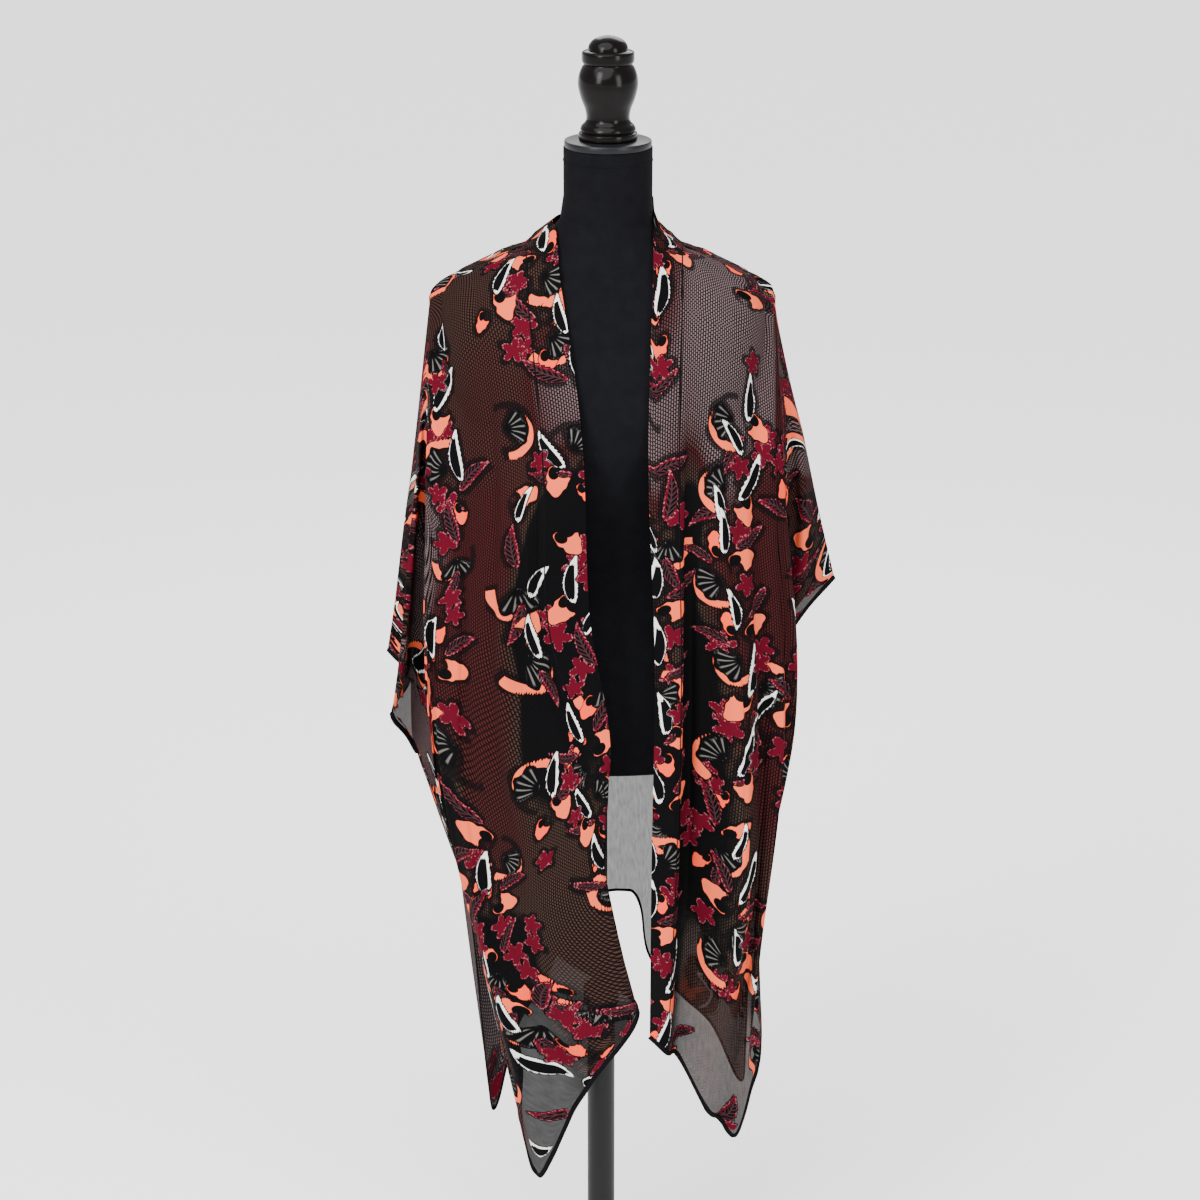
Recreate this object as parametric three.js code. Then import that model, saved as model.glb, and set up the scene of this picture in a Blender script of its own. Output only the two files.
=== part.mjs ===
// An open kimono wrap of sheer cloth, worn by a limbless dress form on a pole stand.
// Millimetres. The origin is on the floor under the pole, +Z is up and the front faces -Y.
// "Left" and "right" are the viewer's: left is towards -X and right is towards +X.

import * as THREE from "three";

// Driving dimensions of the stand
const BASE_RADIUS = 165;
const BASE_HEIGHT = 14;
const BASE_EDGE = 3;
const TUBE_RADIUS = 18;
const TUBE_TOP = 430;
const TUBE_FOOT = { reach: 14, edge: 5, fillet: 3, filletHeight: 22, height: 26 };
const COLLAR_RADIUS = 23;
const COLLAR_HEIGHT = 34;
const COLLAR_EDGE = 2;
const COLLAR_NECK = { wall: 5, height: 8 };
const KNOB_REACH = 24;
const KNOB_RADIUS = 9;
const KNOB_SHANK = 4;
const KNOB_HEAD = 11;
const KNOB_SLOPE = 1;
const KNOB_HEIGHT = 13;
const ROD_RADIUS = 8;
const FLANGE_RADIUS = 38;
const FLANGE_HEIGHT = 6;
const FLANGE_WELD = 6;
const ROUNDED_EDGE = 1;
const GAP = 0.3;

// Driving dimensions of the form
const FORM_BOTTOM = 796;
const NECK_TOP = 1556;
const NECK_X = 8;
const SHOULDER_X = 2.5;
const CAP_RADIUS = 51.5;
const CAP_HEIGHT = 8.4;
const FORM_SEGMENTS = 32;
const NECK = { half: 52.5, front: 50, back: 54, square: 2, foot: 1500, lean: 0.6 };

// Driving dimensions of the garment
const CLOTH = 1.5;
const BAND = 45;
const SEAM = 0.3;
const CLEARANCE = 7;
const SHOULDER_CLEARANCE = 1.5;
const CLEARANCE_RISE = 0.16;
const CORE_REACH = 150;
const CORE_DEPTH = 60;
const CLEAR_PASSES = 14;
const LONGEST_PUSH = 10;
const LEAST_FACING = 0.35;
const WELL_OUTSIDE = 0.6;
const STEPS_PER_FOLD = 3;
const ROWS_DOWN = 23;
const ROW_CROWDING = 1.5;
const FINE_STEPS = 150;

// The shoulder line that the cloth hangs from: distance out from the middle, and height.
const SHOULDER = [
  { out: 60, z: 1469 },
  { out: 78, z: 1451 },
  { out: 100, z: 1434 },
  { out: 128, z: 1425 },
  { out: 160, z: 1412 },
  { out: 184, z: 1402 },
  { out: 198.5, z: 1394 },
];

// The fold along the top of each sleeve, from the shoulder point down to the corner of the cuff.
const SLEEVE_FOLD = {
  left: [
    { out: 206, z: 1382 },
    { out: 212, z: 1335 },
    { out: 220, z: 1270 },
    { out: 232, z: 1174 },
    { out: 244, z: 1098 },
    { out: 261, z: 973 },
    { out: 269, z: 926 },
  ],
  right: [
    { out: 204, z: 1382 },
    { out: 208, z: 1350 },
    { out: 216, z: 1313 },
    { out: 229, z: 1258 },
    { out: 242, z: 1212 },
    { out: 256, z: 1147 },
    { out: 267, z: 1098 },
    { out: 286, z: 1022 },
  ],
};

// Sections of the form under the shoulders: half width, depths to front and back, and squareness.
const FORM_SECTIONS = [
  { z: 1375, half: 190, front: 82, back: 94, square: 2.2 },
  { z: 1350, half: 190, front: 95, back: 101, square: 2.2 },
  { z: 1300, half: 187, front: 116, back: 104, square: 2.3 },
  { z: 1255, half: 179, front: 131, back: 100, square: 2.2 },
  { z: 1215, half: 171, front: 133, back: 94, square: 2.2 },
  { z: 1165, half: 157, front: 118, back: 86, square: 2.1 },
  { z: 1110, half: 138, front: 99, back: 79, square: 2.1 },
  { z: 1060, half: 127, front: 90, back: 76, square: 2.1 },
  { z: 1010, half: 135, front: 92, back: 82, square: 2.1 },
  { z: 945, half: 157, front: 99, back: 98, square: 2.1 },
  { z: 875, half: 171, front: 105, back: 109, square: 2.2 },
  { z: 820, half: 174, front: 104, back: 108, square: 2.2 },
  { z: FORM_BOTTOM, half: 173, front: 103, back: 106, square: 2.2 },
];

// The form along the shoulder line, one row for each row of SHOULDER: its depths, how square its
// section is, and how much it draws in from the cloth to round off its ends.
const SHOULDER_DEPTHS = [
  { front: 51, back: 56, square: 2, ease: 0.6 },
  { front: 56, back: 63, square: 2, ease: 0 },
  { front: 62, back: 72, square: 2.1, ease: 0 },
  { front: 66, back: 79, square: 2.1, ease: 0 },
  { front: 68, back: 81, square: 2, ease: 2 },
  { front: 71, back: 84, square: 2, ease: 7 },
  { front: 74, back: 87, square: 2, ease: 14 },
];

// The hanging lines of the cloth, one row for each fold. "along" is where a line leaves the shoulder
// line, in millimetres from the neck; in the back, less than nothing is to the left of the neck, and
// "turn" is a place round the neck in degrees. x and y are its places a quarter, half and three quarters
// of the way down and at its end, and z is the height of that end.
const LEFT_FRONT = [
  { line: "opening edge", along: 0, x: [-23, -14, 9, -78], y: [-146, -151, -148, -127], z: 592 },
  { line: "band seam", along: BAND, x: [-68, -60, 6, -38], y: [-150, -155, -152, -131], z: 556 },
  { line: "turned fold", along: 72, x: [-92, -84, -18, 46], y: [-140, -146, -160, -144], z: 498 },
  { line: "front ridge", along: 104, x: [-122, -119, -76, -12], y: [-138, -162, -165, -152], z: 400 },
  { line: "front valley", along: 130, x: [-152, -152, -112, -38], y: [-116, -132, -138, -131], z: 342 },
  { line: "side ridge", along: 150, x: [-172, -178, -142, -62], y: [-106, -128, -140, -143], z: 288 },
  { line: "front point", along: 166, x: [-196, -200, -146, -84], y: [-92, -106, -112, -124], z: 247 },
  { line: "beside the point", along: 174, x: [-204, -207, -158, -104], y: [-86, -102, -102, -110], z: 325 },
  { line: "slit edge", along: 182, x: [-210, -213, -171, -108], y: [-80, -98, -92, -98], z: 440 },
  { line: "slit top", along: 200, x: [-207, -204, -186, -175], y: [-52, -62, -44, -SEAM / 2], z: 600 },
  { line: "underarm", along: 232, x: [-213, -220, -226, -233], y: [-38, -50, -40, -SEAM / 2], z: 785 },
  { line: "cuff fold", along: 275, x: [-220, -229, -241, -258], y: [-50, -82, -88, -66], z: 866 },
  { line: "cuff hollow", along: 325, x: [-227, -231, -234, -238], y: [-22, -34, -34, -24], z: 897 },
  { line: "sleeve fold", along: 395, fold: true },
];

const RIGHT_FRONT = [
  { line: "opening edge", along: 0, x: [55, 64, 62, 61], y: [-145, -150, -150, -148], z: 461 },
  { line: "band seam", along: BAND, x: [91, 96, 92, 84], y: [-149, -152, -152, -146], z: 437 },
  { line: "dark valley", along: 70, x: [112, 112, 110, 98], y: [-132, -122, -112, -112], z: 415 },
  { line: "front ridge", along: 112, x: [148, 172, 166, 134], y: [-132, -157, -157, -136], z: 352 },
  { line: "side valley", along: 142, x: [180, 190, 186, 152], y: [-104, -122, -120, -102], z: 318 },
  { line: "pillar ridge", along: 162, x: [206, 218, 196, 174], y: [-96, -118, -124, -100], z: 291 },
  { line: "beside the point", along: 170, x: [214, 229, 198, 193], y: [-83, -101, -98, -88], z: 350 },
  { line: "slit edge", along: 178, x: [222, 239, 201, 206], y: [-70, -84, -74, -72], z: 430 },
  { line: "slit top", along: 196, x: [220, 216, 196, 191], y: [-42, -46, -34, -SEAM / 2], z: 650 },
  { line: "underarm", along: 228, x: [226, 226, 210, 191], y: [-20, -28, -26, -SEAM / 2], z: 861 },
  { line: "cuff hollow", along: 290, x: [243, 247, 248, 242], y: [-22, -32, -34, -28], z: 974 },
  { line: "sleeve fold", along: 352, fold: true },
];

const BACK = [
  { line: "left sleeve fold", along: -395, fold: true },
  { line: "left cuff", along: -320, x: [-226, -230, -234, -242], y: [30, 42, 42, 32], z: 892 },
  { line: "left underarm", along: -236, x: [-216, -224, -230, -233], y: [44, 54, 44, SEAM / 2], z: 785 },
  { line: "left slit top", along: -200, x: [-212, -212, -194, -175], y: [66, 76, 52, SEAM / 2], z: 600 },
  { line: "left slit edge", along: -187, x: [-208, -207, -185, -153], y: [77, 87, 62, 28], z: 320 },
  { line: "left point", along: -176, x: [-204, -202, -176, -142], y: [88, 98, 72, 40], z: 250 },
  { line: "left ridge", along: -148, x: [-176, -176, -150, -114], y: [108, 122, 112, 78], z: 350 },
  { line: "left valley", along: -112, x: [-138, -132, -108, -72], y: [110, 100, 88, 74], z: 432 },
  { line: "left blade", along: -78, x: [-104, -96, -72, -38], y: [120, 122, 118, 106], z: 505 },
  { line: "left neck", turn: 0, x: [-74, -66, -46, -14], y: [119, 120, 118, 112], z: 528 },
  { line: "left nape", turn: 42, x: [-42, -34, -18, 8], y: [116, 113, 115, 106], z: 540 },
  { line: "nape", turn: 90, x: [2, 4, 12, 28], y: [115, 109, 113, 103], z: 543 },
  { line: "right nape", turn: 138, x: [46, 42, 44, 44], y: [116, 113, 115, 109], z: 536 },
  { line: "right neck", turn: 180, x: [78, 72, 64, 54], y: [119, 121, 118, 106], z: 512 },
  { line: "right blade", along: 78, x: [108, 104, 92, 64], y: [120, 120, 110, 86], z: 456 },
  { line: "right valley", along: 112, x: [142, 138, 126, 104], y: [110, 98, 84, 66], z: 410 },
  { line: "right ridge", along: 146, x: [178, 178, 164, 150], y: [106, 120, 112, 84], z: 352 },
  { line: "right point", along: 174, x: [206, 208, 196, 186], y: [86, 96, 80, 48], z: 288 },
  { line: "right slit edge", along: 186, x: [211, 212, 200, 192], y: [72, 81, 63, 24], z: 360 },
  { line: "right slit top", along: 198, x: [216, 216, 204, 191], y: [58, 66, 46, SEAM / 2], z: 650 },
  { line: "right underarm", along: 230, x: [228, 232, 216, 191], y: [34, 42, 34, SEAM / 2], z: 861 },
  { line: "right cuff", along: 290, x: [243, 248, 250, 246], y: [26, 38, 38, 28], z: 976 },
  { line: "right sleeve fold", along: 352, fold: true },
];

// The neck seam of the back, and the edge of the band that stands against the neck: half ovals.
const NECK_SEAM = { half: 92.4, depth: 80, sideZ: 1439.6, backZ: 1432 };
const NECK_EDGE = { half: 60, depth: 61.5, sideZ: 1469, backZ: 1470 };
const NECK_BAND_ROWS = 3;

// Turned profiles, as radius and height from the piece's own underside
const FINIAL_PROFILE = [
  { r: 34.3, z: 0 },
  { r: 34.6, z: 2 },
  { r: 34.3, z: 8 },
  { r: 31.6, z: 9 },
  { r: 32.6, z: 12.4 },
  { r: 30.6, z: 16.4 },
  { r: 26.6, z: 20.6 },
  { r: 25.4, z: 26 },
  { r: 27.2, z: 36 },
  { r: 31.8, z: 48 },
  { r: 35.2, z: 62 },
  { r: 34.4, z: 74 },
  { r: 30.8, z: 83.6 },
  { r: 28.2, z: 87.4 },
  { r: 30.2, z: 90 },
  { r: 30.8, z: 95 },
  { r: 30.2, z: 101 },
  { r: 24.6, z: 103.6 },
  { r: 22.8, z: 108 },
  { r: 17.6, z: 115 },
  { r: 9.6, z: 118.8 },
  { r: 0.01, z: 120 },
];
const ROUND_SEGMENTS = 24;

const COLOURS = {
  lacquer: { color: 0x0b0a0b, roughness: 0.16, metalness: 0.0 },
  satin: { color: 0x17171a, roughness: 0.35, metalness: 0.2 },
  jersey: { color: 0x1c1c20, roughness: 0.92, metalness: 0.0 },
  steel: { color: 0x121214, roughness: 0.45, metalness: 0.6 },
  print: { color: 0x4a2a2e, roughness: 0.75, metalness: 0.0 },
  band: { color: 0x3a1c22, roughness: 0.75, metalness: 0.0 },
};

// One value between four, passing smoothly through the middle two
function smooth(a, b, c, d, t) {
  const slopeB = (c - a) / 2;
  const slopeC = (d - b) / 2;
  const rest = 1 - t;
  return (
    b * (1 + 2 * t) * rest * rest +
    slopeB * t * rest * rest +
    c * t * t * (3 - 2 * t) -
    slopeC * t * t * rest
  );
}

// A smooth curve through a list of points, at a place counted in points
function through(points, place) {
  const last = points.length - 1;
  const from = Math.min(Math.max(Math.floor(place), 0), last - 1);
  const before = points[from - 1] ?? points[from].clone().multiplyScalar(2).sub(points[from + 1]);
  const after = points[from + 2] ?? points[last].clone().multiplyScalar(2).sub(points[last - 1]);
  const four = [before, points[from], points[from + 1], after];
  const mix = (axis) => smooth(...four.map((point) => point[axis]), place - from);
  return new THREE.Vector3(mix("x"), mix("y"), mix("z"));
}

// The shoulder line and the sleeve's fold as one path in the plane of the seams
function topPath(side) {
  const sign = side === "left" ? -1 : 1;
  const rows = [...SHOULDER, ...SLEEVE_FOLD[side]];
  return rows.map((row) => new THREE.Vector3(SHOULDER_X + sign * row.out, 0, row.z));
}

const TOP_PATH = { left: topPath("left"), right: topPath("right") };

// The point at a distance along a path of straight stretches; past its end, its last point
function pointAlong(path, distance) {
  let left = distance;
  for (let i = 1; i < path.length; i += 1) {
    const step = path[i].distanceTo(path[i - 1]);
    if (left <= step) {
      return path[i - 1].clone().lerp(path[i], left / step);
    }
    left -= step;
  }
  return path[path.length - 1].clone();
}

function pathLength(path) {
  let total = 0;
  for (let i = 1; i < path.length; i += 1) {
    total += path[i].distanceTo(path[i - 1]);
  }
  return total;
}

// A point of a half oval round the back of the neck, from the left (0 degrees) to the right (180)
function ovalPoint(oval, degrees) {
  const angle = THREE.MathUtils.degToRad(degrees);
  const behind = Math.sin(angle);
  return new THREE.Vector3(
    SHOULDER_X - oval.half * Math.cos(angle),
    SEAM / 2 + oval.depth * behind,
    oval.sideZ + (oval.backZ - oval.sideZ) * behind * behind,
  );
}

// The five points that one hanging line passes through
function hangingLine(row, side, seamY) {
  const path = TOP_PATH[side ?? (row.along < 0 ? "left" : "right")];
  const along = Math.abs(row.along);
  const top = row.turn === undefined ? pointAlong(path, along) : ovalPoint(NECK_SEAM, row.turn);
  if (row.turn === undefined) {
    top.y = seamY;
  }
  if (row.fold) {
    const reach = pathLength(path) - along;
    return [0, 1, 2, 3, 4].map((quarter) => {
      const point = pointAlong(path, along + (reach * quarter) / 4);
      point.y = seamY;
      return point;
    });
  }
  const lower = row.x.map(
    (x, i) => new THREE.Vector3(x, row.y[i], top.z + ((row.z - top.z) * (i + 1)) / 4),
  );
  return [top, ...lower];
}

// Sections of the form from the neck down, each an oval that may be squared
function formSections() {
  const neck = [
    { ...NECK, z: NECK_TOP, x: NECK_X },
    { ...NECK, z: NECK.foot, x: NECK_X },
  ];
  const shoulders = SHOULDER.map((row, i) => {
    const near = SHOULDER[Math.max(i - 1, 0)];
    const far = SHOULDER[Math.min(i + 1, SHOULDER.length - 1)];
    const slope = Math.hypot(far.out - near.out, far.z - near.z);
    const inward = (SHOULDER_CLEARANCE * (near.z - far.z)) / slope;
    const down = (SHOULDER_CLEARANCE * (far.out - near.out)) / slope;
    const { ease, ...depths } = SHOULDER_DEPTHS[i];
    const lean = i === 0 ? NECK.lean : 0;
    return {
      z: row.z - down,
      x: THREE.MathUtils.lerp(SHOULDER_X, NECK_X, lean),
      half: row.out - inward - ease - (NECK_X - SHOULDER_X) * lean,
      ...depths,
    };
  });
  const trunk = FORM_SECTIONS.map((row) => ({ x: SHOULDER_X, ...row }));
  return [...neck, ...shoulders, ...trunk];
}

const SECTIONS = formSections();

// The form's section at any height
function sectionAt(z) {
  const last = SECTIONS.length - 1;
  if (z >= SECTIONS[0].z) {
    return SECTIONS[0];
  }
  let i = 1;
  while (i < last && SECTIONS[i].z > z) {
    i += 1;
  }
  const above = SECTIONS[i - 1];
  const below = SECTIONS[i];
  const share = Math.min((above.z - z) / (above.z - below.z), 1);
  const between = (key) => THREE.MathUtils.lerp(above[key], below[key], share);
  return {
    x: between("x"),
    half: between("half"),
    front: between("front"),
    back: between("back"),
    square: between("square"),
  };
}

// How far outside the form's section a point is, as a share of the section's size
function outside(point) {
  const s = sectionAt(point.z);
  const depth = point.y < 0 ? s.front : s.back;
  const across = Math.abs(point.x - s.x) / s.half;
  const along = Math.abs(point.y) / depth;
  return (across ** s.square + along ** s.square) ** (1 / s.square) - 1;
}

// Moves a point of the cloth off the form, straight away from a core inside it, until it is clear.
// The core runs from shoulder to shoulder under the crown that the cloth hangs from, and down.
function clearOfForm(point, crown) {
  const probe = 0.5;
  const fromSeam = Math.abs(point.y);
  const clearance = Math.min(SHOULDER_CLEARANCE + fromSeam * CLEARANCE_RISE, CLEARANCE);
  const core = new THREE.Vector3(
    THREE.MathUtils.clamp(point.x, SHOULDER_X - CORE_REACH, SHOULDER_X + CORE_REACH),
    0,
    Math.min(point.z, crown - CORE_DEPTH),
  );
  const away = point.clone().sub(core).normalize();
  for (let pass = 0; pass < CLEAR_PASSES; pass += 1) {
    const value = outside(point);
    if (point.z < FORM_BOTTOM || value > WELL_OUTSIDE) {
      return;
    }
    const slope = new THREE.Vector3();
    for (const axis of ["x", "y", "z"]) {
      const moved = point.clone();
      moved[axis] += probe;
      slope[axis] = (outside(moved) - value) / probe;
    }
    const short = clearance - value / slope.length();
    if (short <= 0) {
      return;
    }
    const facing = Math.max(slope.normalize().dot(away), LEAST_FACING);
    point.addScaledVector(away, Math.min(short / facing, LONGEST_PUSH));
  }
}

// Points at chosen shares of the length of a path, closer together near its start
function rowsAlong(path, rows) {
  const total = pathLength(path);
  return Array.from({ length: rows + 1 }, (_, r) =>
    r === rows ? path[path.length - 1].clone() : pointAlong(path, total * (r / rows) ** ROW_CROWDING),
  );
}

// The cloth as a grid of points: columns follow the hanging lines and rows run across them
function clothGrid(table, side, seamY) {
  const lines = table.map((row) => hangingLine(row, side, seamY));
  const columns = (lines.length - 1) * STEPS_PER_FOLD;
  return Array.from({ length: columns + 1 }, (_, c) => {
    const path = [];
    for (let step = 0; step <= FINE_STEPS; step += 1) {
      const across = lines.map((line) => through(line, (4 * step) / FINE_STEPS));
      const point = through(across, c / STEPS_PER_FOLD);
      if (step > 0 || point.y > SEAM) {
        clearOfForm(point, (path[0] ?? point).z);
      }
      path.push(point);
    }
    return rowsAlong(path, ROWS_DOWN);
  });
}

// Holds the points that a seam joins in the seam's own plane
function seamTest(table, grid, seamY) {
  const slitTops = table.flatMap((row, i) => (row.line.includes("slit top") ? [i * STEPS_PER_FOLD] : []));
  const underarms = table.flatMap((row, i) => (row.line.includes("underarm") ? [i * STEPS_PER_FOLD] : []));
  const folds = table.flatMap((row, i) => (row.fold ? [i * STEPS_PER_FOLD] : []));
  const necks = table.flatMap((row, i) => (row.turn === undefined ? [] : [i * STEPS_PER_FOLD]));
  const last = grid[0].length - 1;
  const inSideSeam = (c) =>
    slitTops.some((slit, k) => c >= Math.min(slit, underarms[k]) && c <= Math.max(slit, underarms[k]));
  const inNeck = (c) => necks.length > 0 && c > necks[0] && c < necks[necks.length - 1];
  const onSeam = (c, r) =>
    folds.includes(c) || (r === 0 && !inNeck(c)) || (r === last && inSideSeam(c));
  grid.forEach((column, c) => {
    column.forEach((point, r) => {
      if (onSeam(c, r)) {
        point.y = seamY;
      }
    });
  });
  return onSeam;
}

// The direction that the wall's thickness takes at each point; on a seam it stays in the seam's plane
function thicknessDirections(grid, onSeam) {
  const lastC = grid.length - 1;
  const lastR = grid[0].length - 1;
  return grid.map((column, c) =>
    column.map((point, r) => {
      const across = grid[Math.min(c + 1, lastC)][r].clone().sub(grid[Math.max(c - 1, 0)][r]);
      const down = column[Math.min(r + 1, lastR)].clone().sub(column[Math.max(r - 1, 0)]);
      const normal = across.cross(down).normalize();
      if (onSeam(c, r)) {
        normal.y = 0;
        normal.normalize();
      }
      return normal;
    }),
  );
}

// A closed wall of even thickness round part of a grid of points
function wall(grid, directions, fromColumn, toColumn) {
  const columns = toColumn - fromColumn + 1;
  const rows = grid[0].length;
  const positions = [];
  for (const side of [0.5, -0.5]) {
    for (let c = fromColumn; c <= toColumn; c += 1) {
      for (let r = 0; r < rows; r += 1) {
        const point = grid[c][r].clone().addScaledVector(directions[c][r], side * CLOTH);
        positions.push(point.x, point.y, point.z);
      }
    }
  }
  const half = columns * rows;
  const at = (c, r, inner) => c * rows + r + (inner ? half : 0);
  const faces = [];
  const quad = (a, b, c, d) => faces.push(a, b, c, a, c, d);
  for (let c = 0; c < columns - 1; c += 1) {
    for (let r = 0; r < rows - 1; r += 1) {
      quad(at(c, r), at(c + 1, r), at(c + 1, r + 1), at(c, r + 1));
      quad(at(c, r, 1), at(c, r + 1, 1), at(c + 1, r + 1, 1), at(c + 1, r, 1));
    }
    quad(at(c, 0), at(c, 0, 1), at(c + 1, 0, 1), at(c + 1, 0));
    quad(at(c, rows - 1), at(c + 1, rows - 1), at(c + 1, rows - 1, 1), at(c, rows - 1, 1));
  }
  for (let r = 0; r < rows - 1; r += 1) {
    quad(at(0, r), at(0, r + 1), at(0, r + 1, 1), at(0, r, 1));
    quad(at(columns - 1, r), at(columns - 1, r, 1), at(columns - 1, r + 1, 1), at(columns - 1, r + 1));
  }
  const geometry = new THREE.BufferGeometry();
  geometry.setAttribute("position", new THREE.Float32BufferAttribute(positions, 3));
  geometry.setIndex(faces);
  return geometry;
}

// Copies a grid and draws one column back from a seam by half of the seam's gap
function drawnBack(grid, column, towards) {
  return grid.map((points, c) => {
    if (c !== column) {
      return points;
    }
    return points.map((point, r) => {
      const pull = grid[column + towards][r].clone().sub(point).normalize();
      return point.clone().addScaledVector(pull, SEAM / 2);
    });
  });
}

// One front of the garment, as its band and its panel
function front(table, side) {
  const seamY = -SEAM / 2;
  const grid = clothGrid(table, side, seamY);
  const directions = thicknessDirections(grid, seamTest(table, grid, seamY));
  const seam = STEPS_PER_FOLD;
  return {
    band: wall(drawnBack(grid, seam, -1), directions, 0, seam),
    panel: wall(drawnBack(grid, seam, 1), directions, seam, grid.length - 1),
  };
}

// The back panel, and the band from its neck seam up to the neck
function back() {
  const seamY = SEAM / 2;
  const grid = clothGrid(BACK, undefined, seamY);
  const directions = thicknessDirections(grid, seamTest(BACK, grid, seamY));
  const turns = BACK.flatMap((row, i) => (row.turn === undefined ? [] : [i * STEPS_PER_FOLD]));
  const first = turns[0];
  const last = turns[turns.length - 1];
  const band = [];
  for (let c = first; c <= last; c += 1) {
    const seam = grid[c][0];
    const edge = ovalPoint(NECK_EDGE, (180 * (c - first)) / (last - first));
    const gap = SEAM / seam.distanceTo(edge);
    const column = Array.from({ length: NECK_BAND_ROWS + 1 }, (_, r) =>
      edge.clone().lerp(seam, (r / NECK_BAND_ROWS) * (1 - gap)),
    );
    if (c > first && c < last) {
      column.slice(0, -1).forEach((point) => clearOfForm(point, point.z));
    }
    band.push(column);
  }
  const bandDirections = thicknessDirections(band, (c) => c === 0 || c === last - first);
  bandDirections.forEach((column, c) => {
    column[NECK_BAND_ROWS] = directions[first + c][0];
  });
  return {
    band: wall(band, bandDirections, 0, last - first),
    panel: wall(grid, directions, 0, grid.length - 1),
  };
}

// The form's trunk and neck: rings of points, closed by a flat face at each end
function torso() {
  const positions = [];
  const faces = [];
  SECTIONS.forEach((s) => {
    for (let i = 0; i < FORM_SEGMENTS; i += 1) {
      const angle = (2 * Math.PI * i) / FORM_SEGMENTS;
      const across = Math.sign(Math.cos(angle)) * Math.abs(Math.cos(angle)) ** (2 / s.square);
      const along = Math.sign(Math.sin(angle)) * Math.abs(Math.sin(angle)) ** (2 / s.square);
      positions.push(s.x + s.half * across, (along < 0 ? s.front : s.back) * along, s.z);
    }
  });
  const rings = SECTIONS.length;
  const at = (ring, i) => ring * FORM_SEGMENTS + (i % FORM_SEGMENTS);
  for (let ring = 0; ring < rings - 1; ring += 1) {
    for (let i = 0; i < FORM_SEGMENTS; i += 1) {
      faces.push(at(ring, i), at(ring + 1, i), at(ring + 1, i + 1));
      faces.push(at(ring, i), at(ring + 1, i + 1), at(ring, i + 1));
    }
  }
  const ends = [0, rings - 1].map((ring) => {
    positions.push(SECTIONS[ring].x, 0, SECTIONS[ring].z);
    return positions.length / 3 - 1;
  });
  for (let i = 0; i < FORM_SEGMENTS; i += 1) {
    faces.push(ends[0], at(0, i), at(0, i + 1));
    faces.push(ends[1], at(rings - 1, i + 1), at(rings - 1, i));
  }
  const geometry = new THREE.BufferGeometry();
  geometry.setAttribute("position", new THREE.Float32BufferAttribute(positions, 3));
  geometry.setIndex(faces);
  return geometry;
}

// A turned solid that stands on z = 0, from a profile of radii and heights
function turned(profile) {
  const first = profile[0];
  const last = profile[profile.length - 1];
  const points = [{ r: 0, z: first.z }, ...profile, { r: 0, z: last.z }];
  const geometry = new THREE.LatheGeometry(
    points.map((point) => new THREE.Vector2(point.r, point.z)),
    ROUND_SEGMENTS,
  );
  return geometry.rotateX(Math.PI / 2);
}

function neckCap() {
  return turned([
    { r: CAP_RADIUS - ROUNDED_EDGE, z: 0 },
    { r: CAP_RADIUS, z: ROUNDED_EDGE },
    { r: CAP_RADIUS, z: CAP_HEIGHT - ROUNDED_EDGE },
    { r: CAP_RADIUS - ROUNDED_EDGE, z: CAP_HEIGHT },
  ]);
}

function basePlate() {
  return turned([
    { r: BASE_RADIUS - ROUNDED_EDGE, z: 0 },
    { r: BASE_RADIUS, z: ROUNDED_EDGE },
    { r: BASE_RADIUS, z: BASE_HEIGHT - BASE_EDGE },
    { r: BASE_RADIUS - BASE_EDGE, z: BASE_HEIGHT },
  ]);
}

function lowerTube() {
  const length = TUBE_TOP - BASE_HEIGHT - GAP;
  return turned([
    { r: TUBE_RADIUS + TUBE_FOOT.reach, z: 0 },
    { r: TUBE_RADIUS + TUBE_FOOT.reach, z: TUBE_FOOT.edge },
    { r: TUBE_RADIUS + TUBE_FOOT.fillet, z: TUBE_FOOT.filletHeight },
    { r: TUBE_RADIUS, z: TUBE_FOOT.height },
    { r: TUBE_RADIUS, z: length },
  ]);
}

// The clamp at the top of the tube, where the rod slides
function clampCollar() {
  return turned([
    { r: COLLAR_RADIUS - COLLAR_EDGE, z: 0 },
    { r: COLLAR_RADIUS, z: COLLAR_EDGE },
    { r: COLLAR_RADIUS, z: COLLAR_HEIGHT - COLLAR_NECK.height },
    { r: ROD_RADIUS + COLLAR_NECK.wall, z: COLLAR_HEIGHT },
  ]);
}

function clampKnob() {
  const geometry = turned([
    { r: KNOB_SHANK, z: 0 },
    { r: KNOB_SHANK, z: KNOB_REACH - KNOB_HEAD - KNOB_SLOPE },
    { r: KNOB_RADIUS, z: KNOB_REACH - KNOB_HEAD },
    { r: KNOB_RADIUS, z: KNOB_REACH },
  ]);
  return geometry.rotateX(-Math.PI / 2);
}

// The upper rod with the flange that the form is screwed to
function upperRod(length) {
  return turned([
    { r: ROD_RADIUS, z: 0 },
    { r: ROD_RADIUS, z: length - FLANGE_HEIGHT - FLANGE_WELD },
    { r: ROD_RADIUS + FLANGE_WELD, z: length - FLANGE_HEIGHT },
    { r: FLANGE_RADIUS, z: length - FLANGE_HEIGHT },
    { r: FLANGE_RADIUS, z: length },
  ]);
}

function mesh(name, geometry, colour) {
  const made = new THREE.Mesh(geometry, new THREE.MeshStandardMaterial(COLOURS[colour]));
  made.name = name;
  return made;
}

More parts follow.
